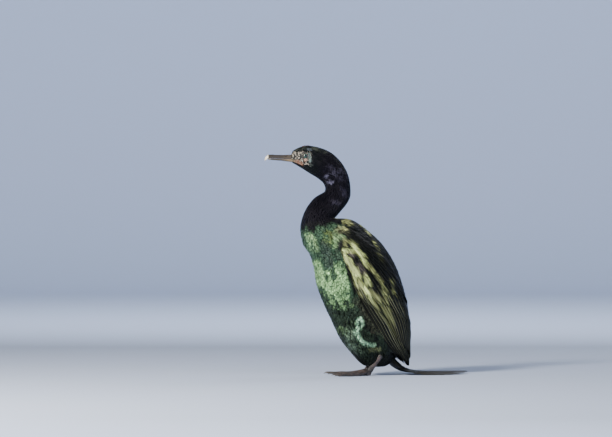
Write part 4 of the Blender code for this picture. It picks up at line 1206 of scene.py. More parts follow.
def coat(name, chosen, blank, slot, material):
    """One joined piece of the body's feathers."""
    k, angle = root_k[chosen], root_angle[chosen]
    count = len(k)
    length = from_face_to_trunk(k, 3.2 * MM, 5.5 * MM, 9.0 * MM, 13.5 * MM)
    length = length * draw.uniform(0.85, 1.15, count)
    half = body_spacing(k) * draw.uniform(0.92, 1.15, count) * between(0.66, 1.0, smooth((k - 12) / 4))
    place = body(k, angle)
    ruffle = waves(place, 0.018, 5)
    depth = np.maximum(coat_depth(k, angle) * 0.95, 0.5 * MM)
    trunk = smooth((k - 13) / 4)
    rise = (0.12 + 0.20 * draw.random(count)) * MM * between(0.4, 1.4, trunk) + 0.3 * MM * ruffle * trunk
    points = laid(
        body, k, angle, blank, length, half, depth, rise,
        turn=draw.normal(0, 0.15, count),
        roll=draw.normal(0, 0.07, count) + 0.12 * waves(place, 0.012, 6) * trunk,
        arch=0.09, thick=0.18 * MM,
    )
    tone = np.exp(draw.normal(0, 0.24, count) + 0.30 * waves(place, 0.010, 7))
    tone = between(1.0, tone, trunk * 0.85 + 0.15)
    tips = points[:, blank["along"] > 0.8].mean(axis=1, keepdims=True)
    seen_from = between(points, tips, 0.6)
    colours = with_painted_gloss_and_shade(np.repeat(undercoat(k, angle)[:, None], blank["along"].size, axis=1), seen_from)
    map_places = on_map(BODY_MAP, angle / math.tau, k / BODY_END)
    put(joined(name, points, blank, colours, map_places, tone), slot, material=material)


SATIN = {"Specular_IOR_Level": 0.17}
VIOLET_SHINE = (0.86, 0.80, 1.0, 1)
sleek = feather_finish(
    "sleek_feathers", (0.002, 0.002, 0.003), 0.5, 0.33, 0.0, 9, Specular_Tint=VIOLET_SHINE, **SATIN
)
scaly = feather_finish("scaly_feathers", (0.008, 0.015, 0.009), 0.45, 0.40, 0.25, 14, **SATIN)

on_head, on_trunk, in_front = root_k < 7.2, root_k >= 14.8, np.cos(root_angle) > -0.1
coat("coat_head", on_head, SMALL_BLANK, "plumage_black", sleek)
coat("coat_neck", ~on_head & ~on_trunk, SMALL_BLANK, "plumage_black", sleek)
coat("coat_breast", on_trunk & in_front, BODY_BLANK, "plumage_green", scaly)
coat("coat_back", on_trunk & ~in_front, BODY_BLANK, "plumage_black", scaly)

# %% [markdown]
# ## Warts of the face, and the crest
#
# In spring the bare skin before the eye is covered with small warts. Where wet ones catch the light, the
# glints are painted into their colour as cream and pink dots. Each is a ball of a few faces, pressed flat
# and sunk into the skin. The crest of this season is a tiny rust-coloured tuft on the crown.


# %% Warts
def wart_blank():
    """A ball made from a cube, with its places given the same names as a feather's."""
    bm = bmesh.new()
    bmesh.ops.create_cube(bm, size=2)
    bmesh.ops.subdivide_edges(bm, edges=bm.edges[:], cuts=1, use_grid_fill=True)
    points = np.array([vert.co.normalized() for vert in bm.verts])
    bm.verts.index_update()
    faces = np.array([[vert.index for vert in face.verts] for face in bm.faces])
    bm.free()
    return {"along": (points[:, 0] + 1) / 2, "across": points[:, 1], "side": points[:, 2], "faces": faces}


WART_BLANK = wart_blank()
WART_GLINTS = np.array(((0.66, 0.58, 0.46), (0.58, 0.46, 0.38), (0.50, 0.48, 0.36)))
DARK_DOTS = np.array(((0.005, 0.009, 0.006), (0.005, 0.0045, 0.004), (0.016, 0.010, 0.008)))
WART_SPACING, WART_RADIUS, WARTS_OFF_EYE = 0.66 * MM, 0.35 * MM, 5.0 * MM
WART_LONG, WART_FLAT = 1.2, 0.6
wart_k, wart_angle = scattered(body, (0.3, 4.2), even(WART_SPACING), crowd=4)
bare = bare_face(wart_k, wart_angle)
centre = body(wart_k, wart_angle, -FACE_COAT)
keep = bare > draw.uniform(0.3, 0.8, len(bare))
keep &= (off_eyes(centre) > WARTS_OFF_EYE) & (mouth_fold(centre) < 0.5)
wart_k, wart_angle, centre = wart_k[keep], wart_angle[keep], centre[keep]
count = len(wart_k)
out = body_normals(wart_k, wart_angle)
ahead = unit(small_moves(body, wart_k, wart_angle)[0])
up = np.cross(out, ahead)
size = WART_RADIUS * np.exp(draw.normal(0, 0.25, count))
x, y, z = 2 * WART_BLANK["along"] - 1, WART_BLANK["across"], WART_BLANK["side"]
local = x[:, None] * ahead[:, None] * WART_LONG + y[:, None] * up[:, None]
local = local + WART_FLAT * z[:, None] * out[:, None]
points = centre[:, None] + local * size[:, None, None]
# Warts with a painted glint and dark warts stand in small islands, wider than they are high.
stretched = centre * np.array((1, 1, 1.4))
islands = np.minimum(waves(stretched, 0.0062, 14), waves(stretched, 0.0062, 19))
glint_share = smooth((islands + 0.30 + draw.normal(0, 0.08, count)) / 0.16)
pick = draw.integers(0, 3, count)
dots = mixed(DARK_DOTS[pick], WART_GLINTS[pick], glint_share)
skin_colour = face_colour(wart_k, wart_angle)
tinted = np.clip(np.linalg.norm(skin_colour - LORE_DARK, axis=1) / 0.12, 0, 1)
wart_colours = mixed(dots, mixed(skin_colour, dots, 0.10 + 0.25 * glint_share), tinted)
map_places = on_map(BODY_MAP, (wart_angle % math.tau) / math.tau, wart_k / BODY_END)


def wart_finish():
    """Moist skin in each wart's colour from the mesh: dark, or a painted glint of cream or pink."""
    material, tree, shader = finish("warts_with_painted_glints", (0.3, 0.2, 0.15), 0.48, Specular_IOR_Level=0.14)
    plumage = node(tree, "Attribute", attribute_name="plumage").outputs["Color"]
    tree.links.new(plumage, shader.inputs["Base Color"])
    return material


warts = joined("face_warts", points, WART_BLANK, wart_colours, map_places, patch=PATCH / 2)
put(warts, "plumage_black", material=wart_finish())

# %% Crest
CREST_FEATHERS = 34
CREST_DARK, CREST_RUST = np.array((0.012, 0.008, 0.007)), np.array((0.16, 0.045, 0.024))
k = draw.uniform(2.3, 3.3, CREST_FEATHERS)
angle = math.pi + draw.normal(0, 0.13, CREST_FEATHERS)
points = laid(
    body, k, angle, SMALL_BLANK,
    length=draw.uniform(4.0, 6.5, CREST_FEATHERS) * MM,
    half_width=np.full(CREST_FEATHERS, 0.5 * MM),
    depth=np.full(CREST_FEATHERS, 0.8 * MM),
    rise=draw.uniform(0.5, 1.5, CREST_FEATHERS) * MM,
    turn=draw.normal(0, 0.25, CREST_FEATHERS),
    roll=draw.normal(0, 0.2, CREST_FEATHERS),
    arch=0.1, thick=0.15 * MM,
)
rust = mixed(CREST_DARK, CREST_RUST, draw.uniform(0.2, 1.0, CREST_FEATHERS))
crest = joined("crest", points, SMALL_BLANK, rust, on_map(BODY_MAP, angle / math.tau, k / BODY_END))
put(crest, "plumage_black", material=sleek)

# %% [markdown]
# ## Feathers of the wing
#
# A folded wing shows its feathers in courses, like roof tiles. Small coverts lie in many short rows, then
# come the median and the greater coverts, then the long inner flight feathers, and under them all the
# primaries, whose outer edges peep out one below the other as fine pale stripes along the wing's front; the
# stripes are partly the edges' own pale colour and partly painted highlight. The bastard wing lies on the
# wrist. The scapulars cover the shoulder and the back of the wing, down to a ragged line of tips that is
# pale with painted highlight. In each course a feather's height follows one rule: it is highest at the
# course's tips, sinks towards the roots, and leans over its neighbour in front. That keeps courses from
# cutting through each other.

# %% One course of feathers
LONG_BLANK = blank_feather((0.0, 0.08, 0.2, 0.35, 0.5, 0.65, 0.78, 0.88, 0.95, 1.0), 4)
COVERT_BLANK = blank_feather((0.0, 0.2, 0.45, 0.7, 0.88, 1.0), 4)


def wing_course(side, blank, count, root_t, tip_t, tip_line, length, halves, tip_lift, slope, lean):
    """Points of one course of feathers, from the front edge to the back edge.

    root_t and tip_t are the first and the last feather's places across the wing; tip_line holds places
    across and, for each, how far along the wing the tips reach.
    """
    f = np.linspace(0, 1, count)
    wobble = draw.normal(0, 1, (5, count))
    tips_t, roots_t = between(*tip_t, f) + 0.008 * wobble[1], between(*root_t, f)
    ends = np.interp(tips_t, *tip_line)
    tips_s = ends + 0.007 * wobble[0]
    roots_s = np.maximum(0.0, ends - length * (1 + 0.06 * wobble[2]))
    half = between(*halves, f) * MM * (1 + 0.06 * wobble[3])
    u, v = blank["along"][None], blank["across"][None]
    reach = u - 0.05 * v**2 * smooth((u - 0.6) / 0.4)
    s = between(roots_s[:, None], tips_s[:, None], reach)
    middle = between(roots_t[:, None], tips_t[:, None], u)
    breadth = breadth_at(s)
    t = middle + v * half[:, None] * vane_width(u, 0.3) / breadth
    sinks = slope * (np.interp(t, *tip_line) - s) * WING_LENGTH
    lift = tip_lift * MM - sinks + lean * (middle - t) * breadth
    lift = lift + 0.05 * half[:, None] * (1 - v**2) * vane_width(u, 0.3)
    lift = lift + (0.12 * MM * wobble[4])[:, None] * u**2
    lift = between(lift - 1.2 * MM, lift, smooth(u / 0.12)) + blank["side"][None] * 0.13 * MM
    return wing(s, t, lift, side), s, t


# %% All courses
# Each row goes on as wing_course's own: count, root t, tip t, tip line, length, half widths, tip lift, slope
# and lean. Pairs go from the wing's front to its back.
COURSES = []
for row in range(9):
    front, back, odd = 0.10 + 0.030 * row, 0.24 + 0.036 * row, 0.022 * (row % 2)
    COURSES.append((
        "lesser", COVERT_BLANK, 14, (-0.03 + odd, 0.80 + odd), (-0.04 + odd, 0.80 + odd),
        ((0, 0.8), (front, back)), 0.080, (3.4, 4.2), 0.2, 0.055, 0.13,
    ))
COURSES += [
    ("median", COVERT_BLANK, 13, (0.00, 0.78), (-0.02, 0.78),
     ((0, 0.8), (0.385, 0.565)), 0.12, (4.2, 5.0), 0.1, 0.055, 0.13),
    ("median", COVERT_BLANK, 13, (0.03, 0.79), (0.00, 0.80),
     ((0, 0.8), (0.430, 0.615)), 0.14, (4.4, 5.4), -0.1, 0.050, 0.13),
    ("greater", LONG_BLANK, 12, (0.10, 0.80), (0.14, 0.80),
     ((0.1, 0.8), (0.520, 0.690)), 0.20, (4.6, 5.6), -0.5, 0.040, 0.13),
    ("flight", LONG_BLANK, 12, (0.28, 0.92), (0.34, 0.95),
     ((0.3, 0.95), (0.760, 0.935)), 0.40, (5.6, 7.0), -1.3, 0.026, 0.13),
    ("primary", LONG_BLANK, 10, (0.00, 0.27), (0.05, 0.86),
     ((0.0, 0.35, 0.6, 0.86), (0.900, 0.968, 0.992, 1.000)), 0.56, (3.6, 5.0), -2.6, 0.022, 0.20),
    ("hand", LONG_BLANK, 8, (-0.02, 0.16), (0.00, 0.22),
     ((0.0, 0.22), (0.520, 0.640)), 0.26, (2.6, 3.4), -1.4, 0.030, 0.16),
    ("alula", LONG_BLANK, 4, (-0.02, 0.08), (0.02, 0.17),
     ((0.0, 0.17), (0.360, 0.440)), 0.24, (3.2, 4.2), 0.9, 0.030, 0.16),
]
SCAPULAR_ROWS = 11
SCAPULAR_T = (-0.10, 0.10, 0.32, 0.36, 0.43, 0.51, 0.62, 0.80, 1.10)
SCAPULAR_S = np.array((0.165, 0.170, 0.185, 0.280, 0.370, 0.450, 0.500, 0.550, 0.590))
for row in range(SCAPULAR_ROWS):
    share = (row + 1.4) / (SCAPULAR_ROWS + 0.4)
    odd = 0.03 * (row % 2)
    COURSES.append((
        "scapular", COVERT_BLANK, 13, (-0.08 + odd, 1.02 + odd), (-0.09 + odd, 1.04 + odd),
        (SCAPULAR_T, share * SCAPULAR_S), 0.125, (4.2, 6.0), 1.5, 0.045, 0.10,
    ))
print("courses in one wing:", len(COURSES))


def wing_feathers(side):
    """Each kind of feather of one wing, as (points, blank, along the wing, across the wing)."""
    kinds = {}
    for kind, blank, *numbers in COURSES:
        points, s, t = wing_course(side, blank, *numbers)
        kinds.setdefault(kind, []).append((points, blank, s, t))
    return kinds


# %% Feathers of both wings
def rim_light(blank):
    """How much of the pale colour each point of a covert keeps: little in its middle, most along its rim."""
    rim = np.maximum(np.abs(blank["across"]) ** 3, smooth((blank["along"] - 0.80) / 0.20))
    return between(0.58, 1.34, rim)


WING_MAPS = {LEFT: ((0.66, 0.80), (0.34, 0.94)), RIGHT: ((0.83, 0.97), (0.34, 0.94))}
# The pale rims and front lines of the wing's feathers are partly their own pale fringes and partly painted
# highlight.
PALE_EDGE_AND_SHEEN = (0.27, 0.28, 0.165)
# The tones of the first primaries and hand coverts, which lie in the shade of the wing's front edge.
SHADED_FRONT = (0.12, 0.22, 0.5)
wing_finishes = {}
for kind, *values in (
    # name, rim's colour, how much of it shows, roughness, metallic, barbs, shaft, colour of the front edge
    ("lesser", "small_coverts", (0.11, 0.11, 0.065), 0.40, 0.36, 0.35, 16, 0.2),
    ("median", "median_coverts", (0.14, 0.14, 0.08), 0.45, 0.36, 0.35, 18, 0.2),
    ("greater", "greater_coverts", (0.12, 0.12, 0.07), 0.45, 0.38, 0.30, 26, 0.3, (0.16, 0.16, 0.09)),
    ("flight", "flight_feathers", (0.05, 0.05, 0.032), 0.45, 0.40, 0.25, 60, 0.35, (0.13, 0.13, 0.075)),
    ("primary", "primaries", (0.05, 0.05, 0.035), 0.40, 0.40, 0.20, 60, 0.35, PALE_EDGE_AND_SHEEN),
    ("hand", "hand_coverts", (0.12, 0.12, 0.08), 0.40, 0.38, 0.25, 30, 0.2, PALE_EDGE_AND_SHEEN),
    ("alula", "bastard_wing", (0.10, 0.09, 0.07), 0.35, 0.36, 0.20, 30, 0.2, PALE_EDGE_AND_SHEEN),
    ("scapular", "scapulars", (0.055, 0.055, 0.035), 0.45, 0.33, 0.40, 22, 0.15),
):
    wing_finishes[kind] = feather_finish(*values, **SATIN)

for name, side in SIDES.items():
    for kind, courses in wing_feathers(side).items():
        blank = courses[0][1]
        points = np.concatenate([course[0] for course in courses])
        s = np.concatenate([course[2].mean(axis=1) for course in courses])
        t = np.concatenate([course[3].mean(axis=1) for course in courses])
        uneven = 0.42 if blank is COVERT_BLANK else 0.30
        tone = np.exp(draw.normal(0, uneven, len(s)))
        if kind in ("primary", "hand"):
            tone[:3] *= SHADED_FRONT
        colours = with_painted_gloss_and_shade(np.broadcast_to(WING_BLACK, points.shape), points)
        if blank is COVERT_BLANK:
            colours = colours * rim_light(blank)[:, None]
        map_places = on_map(WING_MAPS[side], np.clip(t, 0, 1), s)
        made = joined(f"wing_{name}_{kind}", points, blank, colours, map_places, tone)
        stands_for = [f"wing_{name}"] if kind == "primary" else []
        put(made, "plumage_bronze", *stands_for, material=wing_finishes[kind])

# %% The arm under the feathers
# From the sheet to the core's outer side and to its inner side, at the shoulder and at the tip.
ARM_DEPTH, ARM_TIP_DEPTH, ARM_UNDER, ARM_TIP_UNDER = 3.6 * MM, 7.5 * MM, 12.5 * MM, 9.5 * MM
SPARE_MAP = ((0.0, 0.01), (0.0, 0.01))


def arm(side, around=20, along=44):
    """A dark closed core under the wing's feathers, so that no gap shows through."""
    s = np.linspace(0.05, 0.92, along)[:, None]
    share = np.linspace(0, 1, around)[None]
    narrow = 0.3 + 0.7 * np.sqrt(1 - np.clip(1 - (s - 0.05) / 0.12, 0, 1) ** 2)
    t = 0.47 + (share - 0.5) * 0.88 * narrow
    depth = between(ARM_DEPTH, ARM_TIP_DEPTH, smooth((s - 0.45) / 0.3))
    depth = depth + 2.5 * MM * np.abs(2 * share - 1) ** 5
    under = between(ARM_UNDER, ARM_TIP_UNDER, smooth((s - 0.6) / 0.4))
    outer = wing(s, t, -depth, side)
    inner = wing(s, t, -under, side)[:, ::-1]
    return tube(np.concatenate([outer, inner], axis=1), SPARE_MAP)


under_wing, _, _ = finish("under_wing", (0.010, 0.011, 0.010), 0.6)
for name, side in SIDES.items():
    put(mesh_object(arm(side), f"wing_{name}_arm"), "plumage_bronze", material=under_wing)

# %% [markdown]
# ## Tail
#
# A cormorant leans on its tail, and its twelve tail feathers are stiff, with thick shafts and worn tips.
# They fan out flat on the ground, the middle pair on top. The tail's line bends down from the rump, so
# feather and covert alike are laid along that line.

# %% Tail coordinates
TAIL_LINE = MM * np.array((
    (24, 44), (38, 27), (50, 16), (62, 8.5), (78, 3.2), (100, 0.3), (140, -0.4), (187.2, -0.4),
))
RECTRICES, TAIL_WEDGE = 12, 0.30
OUTERMOST = (RECTRICES - 1) / 2
ROOT_SPREAD, TIP_SPREAD = 2.0 * MM, 8.5 * MM
RECTRIX_HALF, RECTRIX_STACK, RECTRIX_LEAN = 7.2 * MM, 0.85 * MM, 0.35 * MM
legs = np.concatenate([[0], np.cumsum(np.linalg.norm(np.diff(TAIL_LINE, axis=0), axis=1))])


def tail_at(along, y, lift):
    """Points over the tail: along its line from 0 to 1, y across, and lift off it."""
    along, y, lift = np.broadcast_arrays(along, y, lift)
    k = np.interp(along * legs[-1], legs, np.arange(len(TAIL_LINE)))
    here = rows_at(TAIL_LINE, k)
    ahead = rows_at(TAIL_LINE, np.minimum(k + 0.05, len(TAIL_LINE) - 1))
    way = unit(ahead - rows_at(TAIL_LINE, np.maximum(k - 0.05, 0)))
    x = here[..., 0] - way[..., 1] * lift
    return np.stack([x, y, here[..., 1] + way[..., 0] * lift], axis=-1)


def stack(across):
    """How high each tail feather lies: the middle pair on top, one of the two over the other."""
    return 0.9 * MM + RECTRIX_STACK * (OUTERMOST - np.abs(across) + (across == 0.5))


def tail_map(count, step, up):
    """Places in a row on the map for baking."""
    return np.stack([0.66 + step * np.arange(count), np.full(count, up)], axis=1)


RECTRIX_BLANK = blank_feather(tuple(np.linspace(0, 0.86, 15)) + (0.91, 0.95, 0.98, 1.0), 6)
across = np.arange(RECTRICES) - OUTERMOST
reach = 1 - TAIL_WEDGE * (np.abs(across) / OUTERMOST) ** 1.6
u, v = RECTRIX_BLANK["along"][None], RECTRIX_BLANK["across"][None]
wear_and_sheen = 0.012 * draw.normal(0, 1, (RECTRICES, RECTRIX_BLANK["along"].size)) * smooth((u - 0.9) / 0.1)
along = between(0.10, reach[:, None], u - 0.035 * v**2 * smooth((u - 0.6) / 0.4) + wear_and_sheen)
spread = between(ROOT_SPREAD, TIP_SPREAD, smooth(along / 0.9))
half = RECTRIX_HALF * (0.35 + 0.65 * smooth(u / 0.5)) * vane_width(u)
shaft_ridge = RECTRIX_LEAN * np.exp(-((v / 0.14) ** 2)) * (1 - 0.7 * u)
lift = stack(across)[:, None] - RECTRIX_LEAN * v * np.sign(across)[:, None] + shaft_ridge
lift = lift + RECTRIX_BLANK["side"][None] * 0.16 * MM
points = tail_at(along, across[:, None] * spread + v * half, lift)
points[..., 2] = np.maximum(points[..., 2], 0.05 * MM)
TAIL_GREY = np.array((0.022, 0.021, 0.019))
tail_finish = feather_finish("tail_feathers", (0.075, 0.065, 0.05), 0.55, 0.52, 0.12, 90, shaft=0.75)
tone = np.exp(draw.normal(0, 0.15, RECTRICES))
greys = np.tile(TAIL_GREY, (RECTRICES, 1))
made = joined("tail_feathers", points, RECTRIX_BLANK, greys, tail_map(RECTRICES, 0.02, 0.97), tone)
put(made, "plumage_tail", "tail", material=tail_finish)

# %% Coverts of the tail, over and under it
TAIL_COVERT_ROWS = 7
all_points = []
u, v = COVERT_BLANK["along"][None], COVERT_BLANK["across"][None]
for row in range(TAIL_COVERT_ROWS):
    count = 7 + (row % 2)
    place = np.arange(count) - (count - 1) / 2
    tip = 0.16 + 0.055 * row - 0.006 * np.abs(place)
    length = 0.15 + 0.01 * row
    along = np.maximum(between((tip - length)[:, None], tip[:, None], u), 0.0)
    y = place[:, None] * (4.6 + 0.3 * row) * MM + v * 5.0 * MM * vane_width(u)
    rise = between(10.0, 6.2, row / (TAIL_COVERT_ROWS - 1)) * MM
    falls_aside = 4.2 * MM * (y / (24 * MM)) ** 2
    lift = rise - 2.4 * MM * (1 - u) - falls_aside + 0.5 * MM * (1 - v**2) * vane_width(u)
    lift = lift + COVERT_BLANK["side"][None] * 0.13 * MM
    all_points.append(tail_at(along, y, lift))
points = np.concatenate(all_points)
count = len(points)
colours = np.tile(BACK_BLACK, (count, 1))
tone = np.exp(draw.normal(0, 0.3, count))
made = joined("tail_coverts", points, COVERT_BLANK, colours, tail_map(count, 0.005, 0.955), tone)
put(made, "plumage_tail", material=wing_finishes["scapular"])


def rump(around=24, along=20):
    """The fleshy root of the tail, which carries its feathers."""
    f = np.linspace(0, 1, along)[:, None]
    angle = math.tau * np.arange(around)[None] / around
    high, wide = (8.5 - 3.0 * smooth(f)) * MM, (14 + 5 * f) * MM
    lift = high - 1.0 * MM + (high - 0.4 * MM) * np.sin(angle)
    return tube(tail_at(0.26 * f, wide * np.cos(angle), lift), SPARE_MAP)


bm = rump()
for vert in bm.verts:
    vert.co.z = max(vert.co.z, 0.05 * MM)
put(mesh_object(bm, "tail_root"), "plumage_tail", material=under_wing)

# %% [markdown]
# ## Bill
#
# The bill is slim and nearly round, with a hooked pale nail at its tip. Its horn is made of plates: a groove
# runs along each side from the slit of the nostril to the nail. The upper bill and the lower bill are two
# tubes that meet along the mouth line. The groove and the plates' edges are part of the rings, and the fine
# scratches along the horn are left to the material.

# %% Upper and lower bill
BILL_ROOT_X = -133.3 * MM
BILL_RINGS = MM * np.array((
    # distance forward, ridge height, mouth line, underside, half width
    (-2.5, 385.6, 376.8, 371.8, 6.5),
    (0, 385.3, 377.0, 372.2, 6.2),
    (8, 385.0, 377.6, 373.4, 5.4),
    (17, 384.8, 378.2, 374.5, 4.6),
    (26, 385.0, 378.6, 375.2, 4.1),
    (33, 385.5, 378.9, 375.8, 3.9),
    (38, 385.2, 379.0, 376.2, 3.7),
    (40, 384.6, 379.0, 376.6, 3.3),
))
HOOK_RINGS = MM * np.array((
    # distance forward, ridge height, lower edge, half width
    (38, 385.2, 379.0, 3.7),
    (40.3, 384.8, 378.3, 3.4),
    (42.2, 383.4, 376.9, 2.9),
    (44.0, 381.4, 375.5, 2.2),
    (45.3, 379.2, 374.9, 1.4),
    (45.8, 377.4, 374.8, 0.7),
))
BILL_AROUND, BILL_INNER = 40, 6
MOUTH_GAP = 0.15 * MM


def bill_ring(x, ridge, edge, half, arch_power, pinches):
    """A ring of the bill: an arch from the mouth line, and a slightly hollow inner side.

    pinches are grooves along the arch, or swellings below 0, each as its height, depth and width.
    """
    angle = math.pi * np.linspace(0, 1, BILL_AROUND - BILL_INNER)
    rise = np.sin(angle) ** arch_power
    pinch = sum(depth * np.exp(-(((rise - height) / wide) ** 2)) for height, depth, wide in pinches)
    y = half * np.cos(angle) * (1 - pinch)
    z = edge + (ridge - edge) * rise
    inner_y = half * np.linspace(-0.86, 0.86, BILL_INNER)
    inner_z = np.full(BILL_INNER, edge) + (ridge - edge) * 0.10 * (1 - (inner_y / half) ** 2)
    ring = [np.full(BILL_AROUND, x), np.concatenate([y, inner_y]), np.concatenate([z, inner_z])]
    return turned(np.stack(ring, axis=1))


def bill_upper():
    """The upper bill with its side grooves, and the hooked nail that stands a little proud of it."""
    rings = []
    for k in np.linspace(0, len(BILL_RINGS) - 1.0, 46):
        out, ridge, edge, _, half = rows_at(BILL_RINGS, np.array(k))
        f = k / (len(BILL_RINGS) - 1)
        groove = (0.50, 0.13 * smooth((f - 0.06) / 0.1) * smooth((0.97 - f) / 0.06), 0.07)
        swell = (0.20, -0.03, 0.16)
        rings.append(bill_ring(BILL_ROOT_X - out, ridge, edge + MOUTH_GAP, half, 0.80, (groove, swell)))
    waist = (0.5, 0.02, 0.2)
    for k in np.linspace(0.12, len(HOOK_RINGS) - 1.0, 22):
        out, ridge, edge, half = rows_at(HOOK_RINGS, np.array(k))
        proud = 0.25 * MM * smooth((k - 0.1) / 0.2)
        rings.append(bill_ring(BILL_ROOT_X - out, ridge + proud, edge, half + proud, 0.80, (waist,)))
    return tube(np.array(rings))


def bill_lower():
    """The lower bill, with a seam between its plates."""
    rings = []
    for k in np.linspace(0, len(BILL_RINGS) - 1.0, 46):
        out, _, edge, under, half = rows_at(BILL_RINGS, np.array(k))
        f = k / (len(BILL_RINGS) - 1)
        seam = (0.55, 0.08 * smooth((f - 0.1) / 0.1) * smooth((0.9 - f) / 0.1), 0.07)
        rings.append(bill_ring(BILL_ROOT_X - out, under, edge - MOUTH_GAP, half * 0.93, 0.75, (seam,)))
    return tube(np.array(rings))


def bill_finish(name, root, middle, tip, nail_from):
    """Horn with streaks along it. The colours run from the root to the pale nail along the turned bill."""
    material, tree, shader = finish(name, middle, 0.38, Coat_Weight=0.15, Coat_Roughness=0.3)
    place = node(tree, "TexCoord").outputs["Object"]
    forward = turned_way(np.array((-1.0, 0, 0)))
    root_at = turned(np.array([BILL_ROOT_X, 0, 380 * MM])) + np.array(SHIFT)
    lined = node(tree, "VectorMath", operation="DOT_PRODUCT")
    tree.links.new(place, lined.inputs[0])
    lined.inputs[1].default_value = tuple(forward)
    out = maths(tree, "SUBTRACT", lined.outputs["Value"], float(root_at @ forward))
    mapping = node(tree, "Mapping", Rotation=(0, 0, HEAD_TURN), Scale=(60, 900, 900))
    streaks = node(tree, "TexNoise", Scale=1.0, Detail=4.0, Roughness=0.6)
    tree.links.new(place, mapping.inputs["Vector"])
    tree.links.new(mapping.outputs["Vector"], streaks.inputs["Vector"])
    speckle = texture(tree, "Noise", Scale=700.0, Detail=3.0).outputs["Fac"]
    colour = blend_colour(tree, ramp(tree, out, 0.0, 0.020), root, middle)
    dark_streaks = times(tree, ramp(tree, streaks.outputs["Fac"], 0.42, 0.68), 0.55)
    colour = blend_colour(tree, dark_streaks, colour, tuple(0.45 * c for c in middle))
    nail = ramp(tree, plus(tree, out, times(tree, speckle, 0.004)), nail_from, nail_from + 0.003)
    colour = blend_colour(tree, nail, colour, tip)
    tree.links.new(colour, shader.inputs["Base Color"])
    raised(tree, shader, streaks.outputs["Fac"], 0.35, 0.0003)
    return material


upper_horn = bill_finish(
    "upper_horn", root=(0.072, 0.052, 0.034), middle=(0.036, 0.027, 0.021),
    tip=(0.80, 0.72, 0.56), nail_from=40.5 * MM,
)
lower_horn = bill_finish(
    "lower_horn", root=(0.28, 0.190, 0.095), middle=(0.078, 0.061, 0.040),
    tip=(0.26, 0.215, 0.145), nail_from=36 * MM,
)
put(mesh_object(bill_upper(), "bill_upper_horn"), "bill_horn", "bill_upper", material=upper_horn)
put(mesh_object(bill_lower(), "bill_lower_horn"), "bill_horn", "bill_lower", material=lower_horn)

# %% Nostril slits
NOSTRIL_X, NOSTRIL_Y, NOSTRIL_Z = -142.2 * MM, 4.55 * MM, 381.6 * MM
NOSTRIL_SIZE = Vector((2.6, 0.30, 0.28)) * MM
# A flat dark ball in each slit stands for the shade inside it: painted shade.
nostril_shade, _, _ = finish("nostril_shade", (0.006, 0.005, 0.005), 0.7)
bm = bmesh.new()
for side in SIDES.values():
    made = bmesh.ops.create_uvsphere(bm, u_segments=16, v_segments=8, radius=1)["verts"]
    bmesh.ops.scale(bm, vec=NOSTRIL_SIZE, verts=made)
    for vert in made:
        vert.co = turned(np.array(vert.co) + np.array((NOSTRIL_X, side * NOSTRIL_Y, NOSTRIL_Z)))
put(mesh_object(bm, "nostrils"), "bill_horn", material=nostril_shade)

# %% [markdown]
# ## Eyes and lids
#
# The eye is a wet ball with an emerald iris. Its rings of colour are drawn by the angle from the middle of
# the pupil, which is stored on the ball's own points. The lid is a bare ring of small dark beads that lies
# over the ball's edge, as on a live bird.

# %% Eyeballs
# The rims of the pupil and of the iris, as angles from the middle of the pupil.
PUPIL, IRIS = 0.44, 0.80


def eye_ball(name, side):
    """A ball that bulges a little at its pupil and keeps each point's angle from it."""
    bm = bmesh.new()
    bmesh.ops.create_uvsphere(bm, u_segments=48, v_segments=32, radius=EYE_RADIUS)
    bmesh.ops.rotate(bm, matrix=Matrix.Rotation(-side * math.pi / 2, 3, "X"), verts=bm.verts[:])
    outward = Vector((0, side, 0))
    off_axis = [vert.co.angle(outward) for vert in bm.verts]
    for vert, angle in zip(bm.verts, off_axis):
        vert.co *= 1 + 0.05 * float(smooth((0.75 - angle) / 0.4))
        vert.co = turned_way(np.array(vert.co)) + eye_middle[name]
    piece = mesh_object(bm, f"eyeball_{name}")
    rings = piece.data.attributes.new("off_axis", "FLOAT", "POINT")
    rings.data.foreach_set("value", np.array(off_axis, np.float32))
    return piece


def eye_finish():
    """A black pupil, an iris of green threads and a dark rim, under a wet coat."""
    material, tree, shader = finish("wet_eye", (0.01, 0.2, 0.1), 0.06, Coat_Weight=1.0, Coat_Roughness=0.02)
    off_axis = node(tree, "Attribute", attribute_name="off_axis").outputs["Fac"]
    threads = texture(tree, "Noise", Scale=1500.0, Detail=2.0)
    iris = blend_colour(tree, threads.outputs["Fac"], (0.004, 0.070, 0.040), (0.020, 0.20, 0.105))
    inner = ramp(tree, off_axis, PUPIL - 0.02, PUPIL + 0.03)
    outer = ramp(tree, off_axis, IRIS - 0.08, IRIS + 0.02)
    colour = blend_colour(tree, inner, (0.002, 0.002, 0.002), iris)
    colour = blend_colour(tree, outer, colour, (0.010, 0.012, 0.010))
    tree.links.new(colour, shader.inputs["Base Color"])
    return material


wet_eye = eye_finish()
for name, side in SIDES.items():
    put(eye_ball(name, side), "eye_green", f"eye_{name}", material=wet_eye)

# %% Lids
LID_RADIUS, LID_THICK, LID_OUT, LID_HEIGHT = 3.75 * MM, 0.95 * MM, 3.45 * MM, 0.88
LID_BEADS = 26


